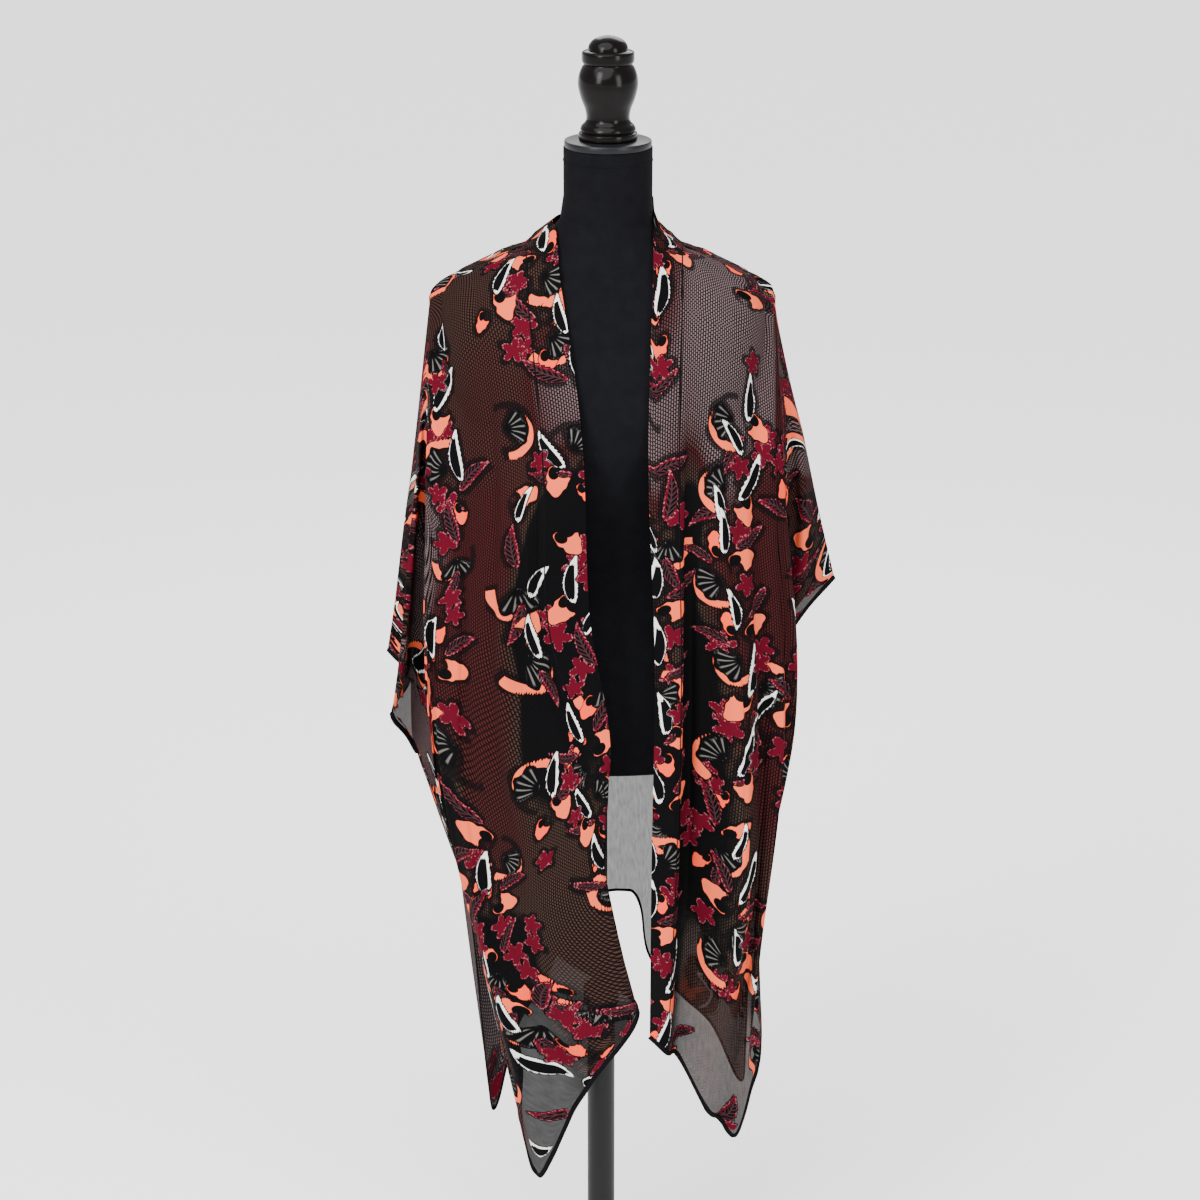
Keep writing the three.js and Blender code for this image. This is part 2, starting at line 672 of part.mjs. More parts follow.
function stand() {
  const group = new THREE.Group();
  const plate = mesh("base_plate", basePlate(), "steel");
  const tube = mesh("lower_tube", lowerTube(), "steel");
  tube.position.z = BASE_HEIGHT + GAP;
  const collar = mesh("clamp_collar", clampCollar(), "steel");
  collar.position.z = TUBE_TOP + GAP;
  const knob = mesh("clamp_knob", clampKnob(), "steel");
  knob.position.set(0, COLLAR_RADIUS + GAP, TUBE_TOP + GAP + KNOB_HEIGHT);
  const rodBottom = TUBE_TOP + COLLAR_HEIGHT + 2 * GAP;
  const rod = mesh("upper_rod", upperRod(FORM_BOTTOM - GAP - rodBottom), "steel");
  rod.position.z = rodBottom;
  group.add(plate, tube, collar, knob, rod);
  return group;
}

function dressForm() {
  const group = new THREE.Group();
  const cap = mesh("neck_cap", neckCap(), "satin");
  cap.position.set(NECK_X, 0, NECK_TOP + GAP);
  const knob = mesh("finial", turned(FINIAL_PROFILE), "lacquer");
  knob.position.set(NECK_X, 0, NECK_TOP + CAP_HEIGHT + 2 * GAP);
  group.add(mesh("form_torso", torso(), "jersey"), cap, knob);
  return group;
}

function kimono() {
  const group = new THREE.Group();
  const left = front(LEFT_FRONT, "left");
  const right = front(RIGHT_FRONT, "right");
  const rear = back();
  group.add(
    mesh("left_front", left.panel, "print"),
    mesh("left_front_band", left.band, "band"),
    mesh("right_front", right.panel, "print"),
    mesh("right_front_band", right.band, "band"),
    mesh("back", rear.panel, "print"),
    mesh("neck_band", rear.band, "band"),
  );
  return group;
}

const model = new THREE.Group();
model.add(stand(), dressForm(), kimono());

export default model;
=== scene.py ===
# %% [markdown]
# An open kimono wrap hangs on a black dress form. The real one is six pieces of sheer printed cloth,
# and nothing but gravity and the form's shoulders gives it its shape. So the lesson has three parts:
# first the lines that the cloth hangs in, then the print on it, and then the form, the stand, the
# light and the camera. Lengths are in millimetres until a mesh is made, because a tailor thinks in
# them, and each mesh is scaled to metres as it is made.

import math

import bmesh
import bpy
import numpy as np
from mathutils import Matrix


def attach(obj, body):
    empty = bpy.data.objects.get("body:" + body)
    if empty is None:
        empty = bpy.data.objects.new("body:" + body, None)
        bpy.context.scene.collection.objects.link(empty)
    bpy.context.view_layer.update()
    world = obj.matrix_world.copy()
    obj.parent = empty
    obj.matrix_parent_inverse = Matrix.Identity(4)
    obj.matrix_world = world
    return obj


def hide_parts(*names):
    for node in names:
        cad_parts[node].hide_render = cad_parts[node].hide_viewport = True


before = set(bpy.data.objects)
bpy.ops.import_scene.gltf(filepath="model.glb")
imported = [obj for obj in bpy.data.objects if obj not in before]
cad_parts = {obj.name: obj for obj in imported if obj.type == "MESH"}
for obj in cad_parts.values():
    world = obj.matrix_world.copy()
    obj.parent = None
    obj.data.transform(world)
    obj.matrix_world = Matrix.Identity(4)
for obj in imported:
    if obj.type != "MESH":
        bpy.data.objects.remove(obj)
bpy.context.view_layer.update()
METRES = 0.001
MERGE_DISTANCE = 1e-6
TINY = 1e-9
print("solids in the frame:", len(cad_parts))

# %% [markdown]
# Cloth on a form is known by a few lines: the shoulder line that carries it, and the folds that run
# down from it. Each row below is one fold line, from a place along the shoulder to a place on the
# hem, with its way out and forwards at a quarter, half and three quarters of its length. A modeller
# could sculpt the same drape by hand, but a short table can be read, and corrected, fold by fold.

# %% The shoulder line and the sleeves' folds
SHOULDER_X = 2.5
NECK_X = 8
BAND = 45

SHOULDER = [(60, 1469), (78, 1451), (100, 1434), (128, 1425), (160, 1412), (184, 1402), (198.5, 1394)]
SLEEVE_FOLD = {
    "left": [(206, 1382), (212, 1335), (220, 1270), (232, 1174), (244, 1098), (261, 973), (269, 926)],
    "right": [
        (204, 1382), (208, 1350), (216, 1313), (229, 1258), (242, 1212), (256, 1147), (267, 1098),
        (286, 1022),
    ],
}  # fmt: skip


def top_path(side):
    """The shoulder line and the fold of one sleeve, as points in the plane of the seams."""
    sign = -1 if side == "left" else 1
    rows = SHOULDER + SLEEVE_FOLD[side]
    return np.array([(SHOULDER_X + sign * out, 0, z) for out, z in rows], dtype=float)


TOP_PATH = {side: top_path(side) for side in ("left", "right")}
print("points along the shoulders:", {side: len(path) for side, path in TOP_PATH.items()})

# %% The folds of the fronts
# Columns: the line's name, how far along the shoulder it starts, x and y on its way down, and the
# height of its end.
LEFT_FRONT = [
    ("opening edge", 0, (-23, -14, 9, -78), (-146, -151, -148, -127), 592),
    ("band seam", BAND, (-68, -60, 6, -38), (-150, -155, -152, -131), 556),
    ("turned fold", 72, (-92, -84, -18, 46), (-140, -146, -160, -144), 498),
    ("front ridge", 104, (-122, -119, -76, -12), (-138, -162, -165, -152), 400),
    ("front valley", 130, (-152, -152, -112, -38), (-116, -132, -138, -131), 342),
    ("side ridge", 150, (-172, -178, -142, -62), (-106, -128, -140, -143), 288),
    ("front point", 166, (-196, -200, -146, -84), (-92, -106, -112, -124), 247),
    ("beside the point", 174, (-204, -207, -158, -104), (-86, -102, -102, -110), 325),
    ("slit edge", 182, (-210, -213, -171, -108), (-80, -98, -92, -98), 440),
    ("slit top", 200, (-207, -204, -186, -175), (-52, -62, -44, 0), 600),
    ("underarm", 232, (-213, -220, -226, -233), (-38, -50, -40, 0), 785),
    ("cuff fold", 275, (-220, -229, -241, -258), (-50, -82, -88, -66), 866),
    ("cuff hollow", 325, (-227, -231, -234, -238), (-22, -34, -34, -24), 897),
    ("sleeve fold", 395, None, None, None),
]
RIGHT_FRONT = [
    ("opening edge", 0, (55, 64, 62, 61), (-145, -150, -150, -148), 461),
    ("band seam", BAND, (91, 96, 92, 84), (-149, -152, -152, -146), 437),
    ("dark valley", 70, (112, 112, 110, 98), (-132, -122, -112, -112), 415),
    ("front ridge", 112, (148, 172, 166, 134), (-132, -157, -157, -136), 352),
    ("side valley", 142, (180, 190, 186, 152), (-104, -122, -120, -102), 318),
    ("pillar ridge", 162, (206, 218, 196, 174), (-96, -118, -124, -100), 291),
    ("beside the point", 170, (214, 229, 198, 193), (-83, -101, -98, -88), 350),
    ("slit edge", 178, (222, 239, 201, 206), (-70, -84, -74, -72), 430),
    ("slit top", 196, (220, 216, 196, 191), (-42, -46, -34, 0), 650),
    ("underarm", 228, (226, 226, 210, 191), (-20, -28, -26, 0), 861),
    ("cuff hollow", 290, (243, 247, 248, 242), (-22, -32, -34, -28), 974),
    ("sleeve fold", 352, None, None, None),
]
print("fold lines of the fronts:", len(LEFT_FRONT), "and", len(RIGHT_FRONT))

# %% The folds of the back
# Starts towards the left are less than nothing, and "turn" rows start on the neck seam, at so many
# degrees round it.
TURN = {"left neck": 0, "left nape": 42, "nape": 90, "right nape": 138, "right neck": 180}
BACK = [
    ("left sleeve fold", -395, None, None, None),
    ("left cuff", -320, (-226, -230, -234, -242), (30, 42, 42, 32), 892),
    ("left underarm", -236, (-216, -224, -230, -233), (44, 54, 44, 0), 785),
    ("left slit top", -200, (-212, -212, -194, -175), (66, 76, 52, 0), 600),
    ("left slit edge", -187, (-208, -207, -185, -153), (77, 87, 62, 28), 320),
    ("left point", -176, (-204, -202, -176, -142), (88, 98, 72, 40), 250),
    ("left ridge", -148, (-176, -176, -150, -114), (108, 122, 112, 78), 350),
    ("left valley", -112, (-138, -132, -108, -72), (110, 100, 88, 74), 432),
    ("left blade", -78, (-104, -96, -72, -38), (120, 122, 118, 106), 505),
    ("left neck", 0, (-74, -66, -46, -14), (119, 120, 118, 112), 528),
    ("left nape", 0, (-42, -34, -18, 8), (116, 113, 115, 106), 540),
    ("nape", 0, (2, 4, 12, 28), (115, 109, 113, 103), 543),
    ("right nape", 0, (46, 42, 44, 44), (116, 113, 115, 109), 536),
    ("right neck", 0, (78, 72, 64, 54), (119, 121, 118, 106), 512),
    ("right blade", 78, (108, 104, 92, 64), (120, 120, 110, 86), 456),
    ("right valley", 112, (142, 138, 126, 104), (110, 98, 84, 66), 410),
    ("right ridge", 146, (178, 178, 164, 150), (106, 120, 112, 84), 352),
    ("right point", 174, (206, 208, 196, 186), (86, 96, 80, 48), 288),
    ("right slit edge", 186, (211, 212, 200, 192), (72, 81, 63, 24), 360),
    ("right slit top", 198, (216, 216, 204, 191), (58, 66, 46, 0), 650),
    ("right underarm", 230, (228, 232, 216, 191), (34, 42, 34, 0), 861),
    ("right cuff", 290, (243, 248, 250, 246), (26, 38, 38, 28), 976),
    ("right sleeve fold", 352, None, None, None),
]
NECK_SEAM = {"half": 92.4, "depth": 80, "side_z": 1439.6, "back_z": 1432}
NECK_EDGE = {"half": 60, "depth": 61.5, "side_z": 1469, "back_z": 1470}
print("fold lines of the back:", len(BACK))

# %% [markdown]
# The form under the cloth is a stack of ovals, a little squarer at the hips. It could be sculpted,
# but ovals at measured heights are how a form is sized, and the cloth has to know them, because it
# rests on the shoulders and must not cut into the bust.

# %% The sections of the form
# Columns of the shoulders, one row for each point of the shoulder line: depth to the front and to
# the back, squareness, and how far the oval is drawn in. Columns of the trunk: height, half width,
# depth to the front and to the back, squareness. The neck has the trunk's columns but the first.
FORM_BOTTOM = 796
NECK_TOP = 1556
REST_GAP = 1.5
SHOULDER_DEPTHS = [
    (51, 56, 2, 0.6), (56, 63, 2, 0), (62, 72, 2.1, 0), (66, 79, 2.1, 0), (68, 81, 2, 2),
    (71, 84, 2, 7), (74, 87, 2, 14),
]  # fmt: skip
TRUNK = [
    (1375, 190, 82, 94, 2.2), (1350, 190, 95, 101, 2.2), (1300, 187, 116, 104, 2.3),
    (1255, 179, 131, 100, 2.2), (1215, 171, 133, 94, 2.2), (1165, 157, 118, 86, 2.1),
    (1110, 138, 99, 79, 2.1), (1060, 127, 90, 76, 2.1), (1010, 135, 92, 82, 2.1),
    (945, 157, 99, 98, 2.1), (875, 171, 105, 109, 2.2), (820, 174, 104, 108, 2.2),
    (FORM_BOTTOM, 173, 103, 106, 2.2),
]  # fmt: skip
NECK = (52.5, 50, 54, 2)
NECK_FOOT = 1500
NECK_LEAN = 0.6


def form_sections():
    """All the form's ovals from the top of the neck down."""
    rows = [(NECK_TOP, NECK_X, *NECK), (NECK_FOOT, NECK_X, *NECK)]
    for i, (out, z) in enumerate(SHOULDER):
        near = SHOULDER[max(i - 1, 0)]
        far = SHOULDER[min(i + 1, len(SHOULDER) - 1)]
        slope = math.hypot(far[0] - near[0], far[1] - near[1])
        inward = REST_GAP * (near[1] - far[1]) / slope
        down = REST_GAP * (far[0] - near[0]) / slope
        front, back, square, ease = SHOULDER_DEPTHS[i]
        lean = NECK_LEAN if i == 0 else 0
        middle = SHOULDER_X + (NECK_X - SHOULDER_X) * lean
        half = out - inward - ease - (NECK_X - SHOULDER_X) * lean
        rows.append((z - down, middle, half, front, back, square))
    return np.array(rows + [(z, SHOULDER_X, *rest) for z, *rest in TRUNK], dtype=float)


SECTIONS = form_sections()


def section_at(z):
    """The form's oval at each height: middle, half width, front, back and squareness."""
    heights = SECTIONS[::-1, 0]
    return [np.interp(z, heights, SECTIONS[::-1, column]) for column in range(1, 6)]


print("sections of the form:", len(SECTIONS))

# %% [markdown]
# A smooth curve through a few points is what a piece of cloth does between two folds. The same
# small function bends the cloth both ways: down each fold line, and from line to line.


# %% Smooth curves
def through(points, places):
    """Smooth curves through points, along the first axis, at places counted in points."""
    first = 2 * points[:1] - points[1:2]
    last = 2 * points[-1:] - points[-2:-1]
    padded = np.concatenate([first, points, last])
    start = np.clip(np.floor(places).astype(int), 0, len(points) - 2)
    t = (places - start).reshape(-1, *[1] * (points.ndim - 1))
    a, b, c, d = (padded[start + k] for k in range(4))
    rest = 1 - t
    return (
        b * (1 + 2 * t) * rest**2 + (c - a) / 2 * t * rest**2
        + c * t**2 * (3 - 2 * t) - (d - b) / 2 * t**2 * rest
    )  # fmt: skip


def lengths_down(points):
    """How far each point is along its path, down the second axis of a grid of points."""
    steps = np.linalg.norm(np.diff(points, axis=1), axis=2)
    return np.concatenate([np.zeros((len(points), 1)), np.cumsum(steps, axis=1)], axis=1)


def point_along(path, distance):
    """The point at a distance along a path of straight stretches."""
    far = lengths_down(path[None])[0]
    return np.array([np.interp(distance, far, path[:, axis]) for axis in range(3)])


def oval_point(oval, degrees):
    """A point of a half oval round the back of the neck, from the left to the right."""
    angle = math.radians(degrees)
    behind = math.sin(angle)
    x = SHOULDER_X - oval["half"] * math.cos(angle)
    z = oval["side_z"] + (oval["back_z"] - oval["side_z"]) * behind**2
    return np.array([x, oval["depth"] * behind, z])


def hanging_line(row, side):
    """The five points that one fold line passes through."""
    name, along, out, depth, end_z = row
    path = TOP_PATH[side or ("left" if along < 0 else "right")]
    reach = lengths_down(path[None])[0][-1] - abs(along)
    if out is None:
        return [point_along(path, abs(along) + reach * quarter / 4) for quarter in range(5)]
    top = oval_point(NECK_SEAM, TURN[name]) if name in TURN else point_along(path, abs(along))
    drop = end_z - top[2]
    lower = [(x, y, top[2] + drop * (i + 1) / 4) for i, (x, y) in enumerate(zip(out, depth))]
    return [top, *lower]


print("the nape's line starts at", np.round(hanging_line(BACK[11], None)[0], 1))

# %% [markdown]
# Where a line of the table would pass through the form, the cloth is moved straight out until it is
# clear, as a dresser smooths a wrap over the bust. It rests closely on the shoulders and stands off
# a little more lower down.

# %% Keeping the cloth off the form
CLEARANCE = 7
CLEARANCE_RISE = 0.16
CORE_REACH = 150
CORE_DEPTH = 60
CLEAR_PASSES = 14
LONGEST_PUSH = 10
LEAST_FACING = 0.35
WELL_OUTSIDE = 0.6
PROBE = 0.5


def outside(points):
    """How far outside the form's oval each point is, as a share of the oval's size."""
    x, y, z = points.T
    middle, half, front, back, square = section_at(z)
    depth = np.where(y < 0, front, back)
    across = np.abs(x - middle) / half
    along = np.abs(y) / depth
    return (across**square + along**square) ** (1 / square) - 1


def clear_of_form(points, crowns):
    """Moves points off the form, away from a core between its shoulders, until they are clear."""
    gap = np.minimum(REST_GAP + np.abs(points[:, 1]) * CLEARANCE_RISE, CLEARANCE)
    core = np.zeros_like(points)
    core[:, 0] = np.clip(points[:, 0], SHOULDER_X - CORE_REACH, SHOULDER_X + CORE_REACH)
    core[:, 2] = np.minimum(points[:, 2], crowns - CORE_DEPTH)
    away = points - core
    away /= np.linalg.norm(away, axis=1, keepdims=True)
    busy = np.arange(len(points))
    for _ in range(CLEAR_PASSES):
        value = outside(points[busy])
        near = (points[busy, 2] >= FORM_BOTTOM) & (value <= WELL_OUTSIDE)
        busy, value = busy[near], value[near]
        slope = np.stack(
            [(outside(points[busy] + PROBE * np.eye(3)[axis]) - value) / PROBE for axis in range(3)],
            axis=1,
        )
        steep = np.linalg.norm(slope, axis=1)
        short = gap[busy] - value / steep
        facing = np.maximum((slope / steep[:, None] * away[busy]).sum(axis=1), LEAST_FACING)
        push = np.minimum(short / facing, LONGEST_PUSH)
        going = short > 0
        busy = busy[going]
        points[busy] += away[busy] * push[going, None]
    return points


print("the bust stands out", SECTIONS[:, 3].max(), "mm in front")

# %% [markdown]
# Each panel becomes a grid of points. Its columns follow the fold lines and its rows run across
# them. The grid is first made coarse and cleared of the form, and then refined, because smooth
# curves through clear points stay clear and cost nothing.

# %% A panel as a grid of points
COARSE_PER_FOLD = 4
COARSE_DOWN = 120
ROW_CROWDING = 1.12
NEAR_SEAM = 0.3


def cloth_grid(table, side, columns, rows):
    """Points of a panel as (column, row, axis), with rows evenly spread down each column."""
    lines = np.array([hanging_line(row, side) for row in table])
    down = through(lines.swapaxes(0, 1), np.linspace(0, 4, COARSE_DOWN + 1))
    folds = len(table) - 1
    grid = through(down.swapaxes(0, 1), np.linspace(0, folds, folds * COARSE_PER_FOLD + 1))
    on_neck = grid[:, 0, 1] > 1
    grid[on_neck, 0] = clear_of_form(grid[on_neck, 0].copy(), grid[on_neck, 0, 2].copy())
    crowns = np.repeat(grid[:, :1, 2], COARSE_DOWN, axis=1)
    below = clear_of_form(grid[:, 1:].reshape(-1, 3).copy(), crowns.ravel())
    grid[:, 1:] = below.reshape(grid[:, 1:].shape)
    grid = through(grid, np.linspace(0, len(grid) - 1, columns))
    far = lengths_down(grid)
    shares = np.linspace(0, 1, rows) ** ROW_CROWDING
    spots = np.stack([np.interp(shares * d[-1], d, np.arange(len(d))) for d in far])
    return np.stack([through(column, spot) for column, spot in zip(grid, spots)])


def fold_columns(table, columns):
    """The column of the grid that follows each fold line."""
    per_fold = (columns - 1) // (len(table) - 1)
    return {row[0]: i * per_fold for i, row in enumerate(table)}


def seams_closed(grid, table):
    """Puts the sleeve's fold and the side seam in the plane where the panels meet."""
    side = np.sign(grid[:, :, 1].sum())
    grid[:, 1:, 1] = side * np.maximum(side * grid[:, 1:, 1], NEAR_SEAM)
    grid[:, 0, 1] = side * np.maximum(side * grid[:, 0, 1], 0)
    starts = fold_columns(table, len(grid))
    for name, start in starts.items():
        if name.endswith("sleeve fold"):
            grid[start, :, 1] = 0
        if name.endswith("slit top"):
            low, high = sorted((start, starts[name.replace("slit top", "underarm")]))
            grid[low : high + 1, -1, 1] = 0


print("one coarse grid has", COARSE_DOWN + 1, "points down each line")

# %% [markdown]
# Sheer cloth is never as smooth as its main folds. Small creases run down it, none of them quite
# straight or alike, and they die out where the cloth lies on the shoulders. Each crease is one
# listed row: where it runs, how far it drifts, how high or deep it is and how wide.

# %% The small creases
# Columns: place across the panel and drift on the way down in hundredths of its width, height in
# mm (less than nothing for a trough), width in thousandths, and the stretch down that it covers in
# hundredths of the length.
CREASES = {
    "left_front": [
        (10, 2, -4.2, 16, 20, 95), (16, -3, 3.64, 20, 30, 100), (23, 4, -4.76, 15, 14, 80),
        (31, 1, 4.2, 22, 35, 105), (36, -2, -3.92, 14, 20, 90), (43, 3, 3.36, 16, 25, 85),
        (47, -1, -4.2, 13, 40, 105), (53, 2, 3.92, 15, 22, 95), (59, 1, -3.64, 14, 30, 100),
        (68, -2, 3.08, 18, 20, 80), (77, 2, -4.48, 20, 25, 95), (86, -3, 3.64, 22, 30, 100),
        (92, 2, -3.36, 16, 35, 100),
    ],
    "right_front": [
        (13, 1, -4.2, 18, 22, 100), (20, -2, 3.92, 16, 30, 90), (27, 2, -5.04, 18, 25, 100),
        (34, 1, 4.2, 18, 18, 85), (40, -2, -3.92, 15, 30, 105), (46, 2, 3.64, 14, 40, 100),
        (52, -1, -4.2, 14, 20, 90), (58, 1, 3.92, 14, 30, 100), (66, 2, -3.36, 18, 25, 90),
        (75, -2, 3.64, 20, 20, 95), (84, 3, -4.2, 22, 30, 100), (92, -2, 3.36, 18, 40, 100),
    ],
    "back": [
        (6, 2, -3.92, 12, 30, 100), (11, -1, 3.64, 10, 20, 95), (17, 2, -4.2, 10, 35, 100),
        (24, -1, 3.92, 9, 25, 90), (29, 1, -4.48, 10, 20, 100), (34, 1, 3.92, 11, 30, 105),
        (40, -2, -4.2, 9, 18, 85), (45, 1, 3.36, 10, 30, 100), (50, 1, -3.92, 11, 25, 95),
        (55, -1, 3.64, 9, 35, 105), (60, 2, -4.48, 10, 22, 100), (65, -1, 3.92, 10, 30, 90),
        (71, 1, -4.2, 9, 20, 100), (77, -2, 3.64, 10, 28, 95), (84, 1, -3.64, 12, 30, 100),
        (91, 2, 3.92, 12, 25, 100),
    ],
}  # fmt: skip
CREASE_UNITS = (100, 100, 1, 1000, 100, 100)
FADE = 0.18
BLUNTNESS = 0.7
WAVER = 0.006
WAVER_DOWN = 9
WAVER_ACROSS = 40
EDGE_SHARE = 0.04


def surface_directions(grid):
    """The direction square to the cloth at each point, turned away from the form's middle."""
    across = np.gradient(grid, axis=0)
    down = np.gradient(grid, axis=1)
    square = np.cross(across, down)
    square /= np.linalg.norm(square, axis=2, keepdims=True) + TINY
    from_middle = grid[:, :, :2] - np.array([SHOULDER_X, 0])
    turned = np.sign((square[:, :, :2] * from_middle).sum())
    return square * turned, turned < 0


def creased(grid, creases):
    """Raises and lowers the cloth along its small creases."""
    across = np.linspace(0, 1, grid.shape[0])[:, None]
    down = np.linspace(0, 1, grid.shape[1])[None]
    height = np.zeros(grid.shape[:2])
    for row in creases:
        place, drift, rise, width, start, end = np.array(row) / CREASE_UNITS
        middle = place + drift * down + WAVER * np.sin(WAVER_DOWN * down + WAVER_ACROSS * place)
        window = np.clip((down - start) / FADE, 0, 1) * np.clip((end - down) / FADE, 0, 1)
        height += rise * window**BLUNTNESS * np.exp(-(((across - middle) / width) ** 2))
    edges = np.clip(np.minimum(across, 1 - across) / EDGE_SHARE, 0, 1)
    square, _ = surface_directions(grid)
    return grid + square * (height * edges)[:, :, None]


print("creases:", {name: len(rows) for name, rows in CREASES.items()})

# %% [markdown]
# The print follows the cloth and not the room, so every point of a panel needs its place on the
# flat cut: how far across and how far down, measured along the cloth. That pair becomes the UV map.


# %% The cut's own coordinates
EASING = 60


def eased(grid):
    """The cloth without its smallest creases: each point moved to the middle of its neighbours."""
    grid = grid.copy()
    for _ in range(EASING):
        beside = grid[:-2, 1:-1] + grid[2:, 1:-1] + grid[1:-1, :-2] + grid[1:-1, 2:]
        grid[1:-1, 1:-1] = beside / 4
    return grid


def cut_places(grid, start):
    """Where each point would lie if the cloth were flat, in mm, from the top of column start."""
    grid = eased(grid)
    way = np.gradient(grid, axis=1)
    way /= np.linalg.norm(way, axis=2, keepdims=True) + TINY
    steps = np.diff(grid, axis=0)
    along = (steps * (way[1:] + way[:-1]) / 2).sum(axis=2)
    aside = np.sqrt(np.maximum((steps**2).sum(axis=2) - along**2, 0))
    across = np.zeros(grid.shape[:2])
    down = np.zeros(grid.shape[:2])
    across[1:] = np.cumsum(aside, axis=0)
    down[1:] = np.cumsum(along, axis=0)
    return across - across[start], down - down[start] + lengths_down(grid)[start]


def cloth_area(grid):
    """The area of a grid of points, in square metres."""
    one = np.cross(grid[1:, :-1] - grid[:-1, :-1], grid[1:, 1:] - grid[:-1, :-1])
    two = np.cross(grid[1:, 1:] - grid[:-1, :-1], grid[:-1, 1:] - grid[:-1, :-1])
    total = np.linalg.norm(one, axis=2).sum() + np.linalg.norm(two, axis=2).sum()
    return total / 2 * METRES**2


# %% The three panels and their bands
# Columns: the panel's fold lines, its side, the grid's columns from one fold line to the next, rows
BACK_PER_FOLD = 13
PANELS = {
    "left_front": (LEFT_FRONT, "left", 16, 470),
    "right_front": (RIGHT_FRONT, "right", 17, 470),
    "back": (BACK, None, BACK_PER_FOLD, 345),
}

grids = {}
for panel, (table, side, per_fold, rows) in PANELS.items():
    columns = (len(table) - 1) * per_fold + 1
    grid = creased(cloth_grid(table, side, columns, rows), CREASES[panel])
    seams_closed(grid, table)
    grids[panel] = grid
    print(panel, "points", grid.shape[:2], "area", round(cloth_area(grid), 3), "square metres")

# %% [markdown]
# The print: sprays of leaves, blossoms, torn petals and fan-shaped petals, in garlands down a ground
# of fine dashes. A photograph of a print could be pasted on, but a drawn one is sharp at any
# size. Each motif is a signed distance: above nothing inside its outline and below nothing outside.
# Every point of the cloth stores the largest distance it has to each kind of motif, and the shader
# cuts a clean edge where the distance crosses nothing. The numbers in an outline are shares of the
# motif's size.


# %% The outlines of the motifs
FAR_OFF = -30.0
LEAF_HALF = 0.15
LEAF_BOW = 0.32


def leaf_middle(x, size):
    """How far a leaf's bowed middle line lies off its straight one."""
    share = np.clip(x / size, 0, 1)
    return LEAF_BOW * size * share * (1 - share)


def leaf(x, y, size):
    """A saw-edged bowed leaf that starts at the origin and points along x."""
    share = np.clip(x / size, 0, 1)
    tooth = 1 - 0.28 * ((share * 10) % 1)
    half = LEAF_HALF * size * np.sin(np.pi * share**0.75) ** 0.85 * tooth
    return np.where((x > 0) & (x < size), half - np.abs(y - leaf_middle(x, size)), FAR_OFF)


def leaf_core(x, y, size):
    """The open middle of a leaf, which leaves a broad border along one side."""
    share = np.clip(x / size, 0.001, 1)
    half = 0.64 * LEAF_HALF * size * np.sin(np.pi * share**0.7)
    inside = half - np.abs(y - leaf_middle(x, size) - 0.02 * size)
    return np.where((share > 0.06) & (share < 0.82), inside, FAR_OFF)


def blossom(x, y, size):
    """Five narrow petals."""
    angle = np.arctan2(y, x)
    return size * (0.30 + 0.70 * np.abs(np.cos(2.5 * angle)) ** 0.9) - np.hypot(x, y)


def petal(x, y, size):
    """A long petal with a wavy edge, torn on one side."""
    angle = np.arctan2(y, x)
    edge = size * (0.92 + 0.09 * np.cos(3 * angle + 1) + 0.06 * np.cos(7 * angle))
    body = edge - np.hypot(x, y / 0.66)
    return np.minimum(body, np.hypot(x + 0.62 * size, y - 0.35 * size) - 0.5 * size)


def stalk(x, y, size):
    """The dark foot of a petal."""
    return 0.42 * size - np.hypot(x + 0.45 * size, (y + 0.2 * size) * 1.3)


def fan(x, y, size):
    """A fan-shaped petal that opens along x, with a scalloped rim."""
    angle = np.arctan2(y, x)
    far = np.hypot(x, y)
    rim = size * (0.93 + 0.07 * np.cos(9 * angle)) - far
    return np.minimum(rim, (0.95 - np.abs(angle)) * far)


def crescent(x, y, size):
    """A pale rim along one side of a fan."""
    outer = 1.06 * size - np.hypot(x - 0.05 * size, y + 0.16 * size)
    inner = np.hypot(x - 0.02 * size, y - 0.10 * size) - 0.95 * size
    return np.minimum(np.minimum(outer, inner), x + 0.1 * size)


print("a leaf 60 mm long is", round(2 * LEAF_HALF * 60), "mm wide")

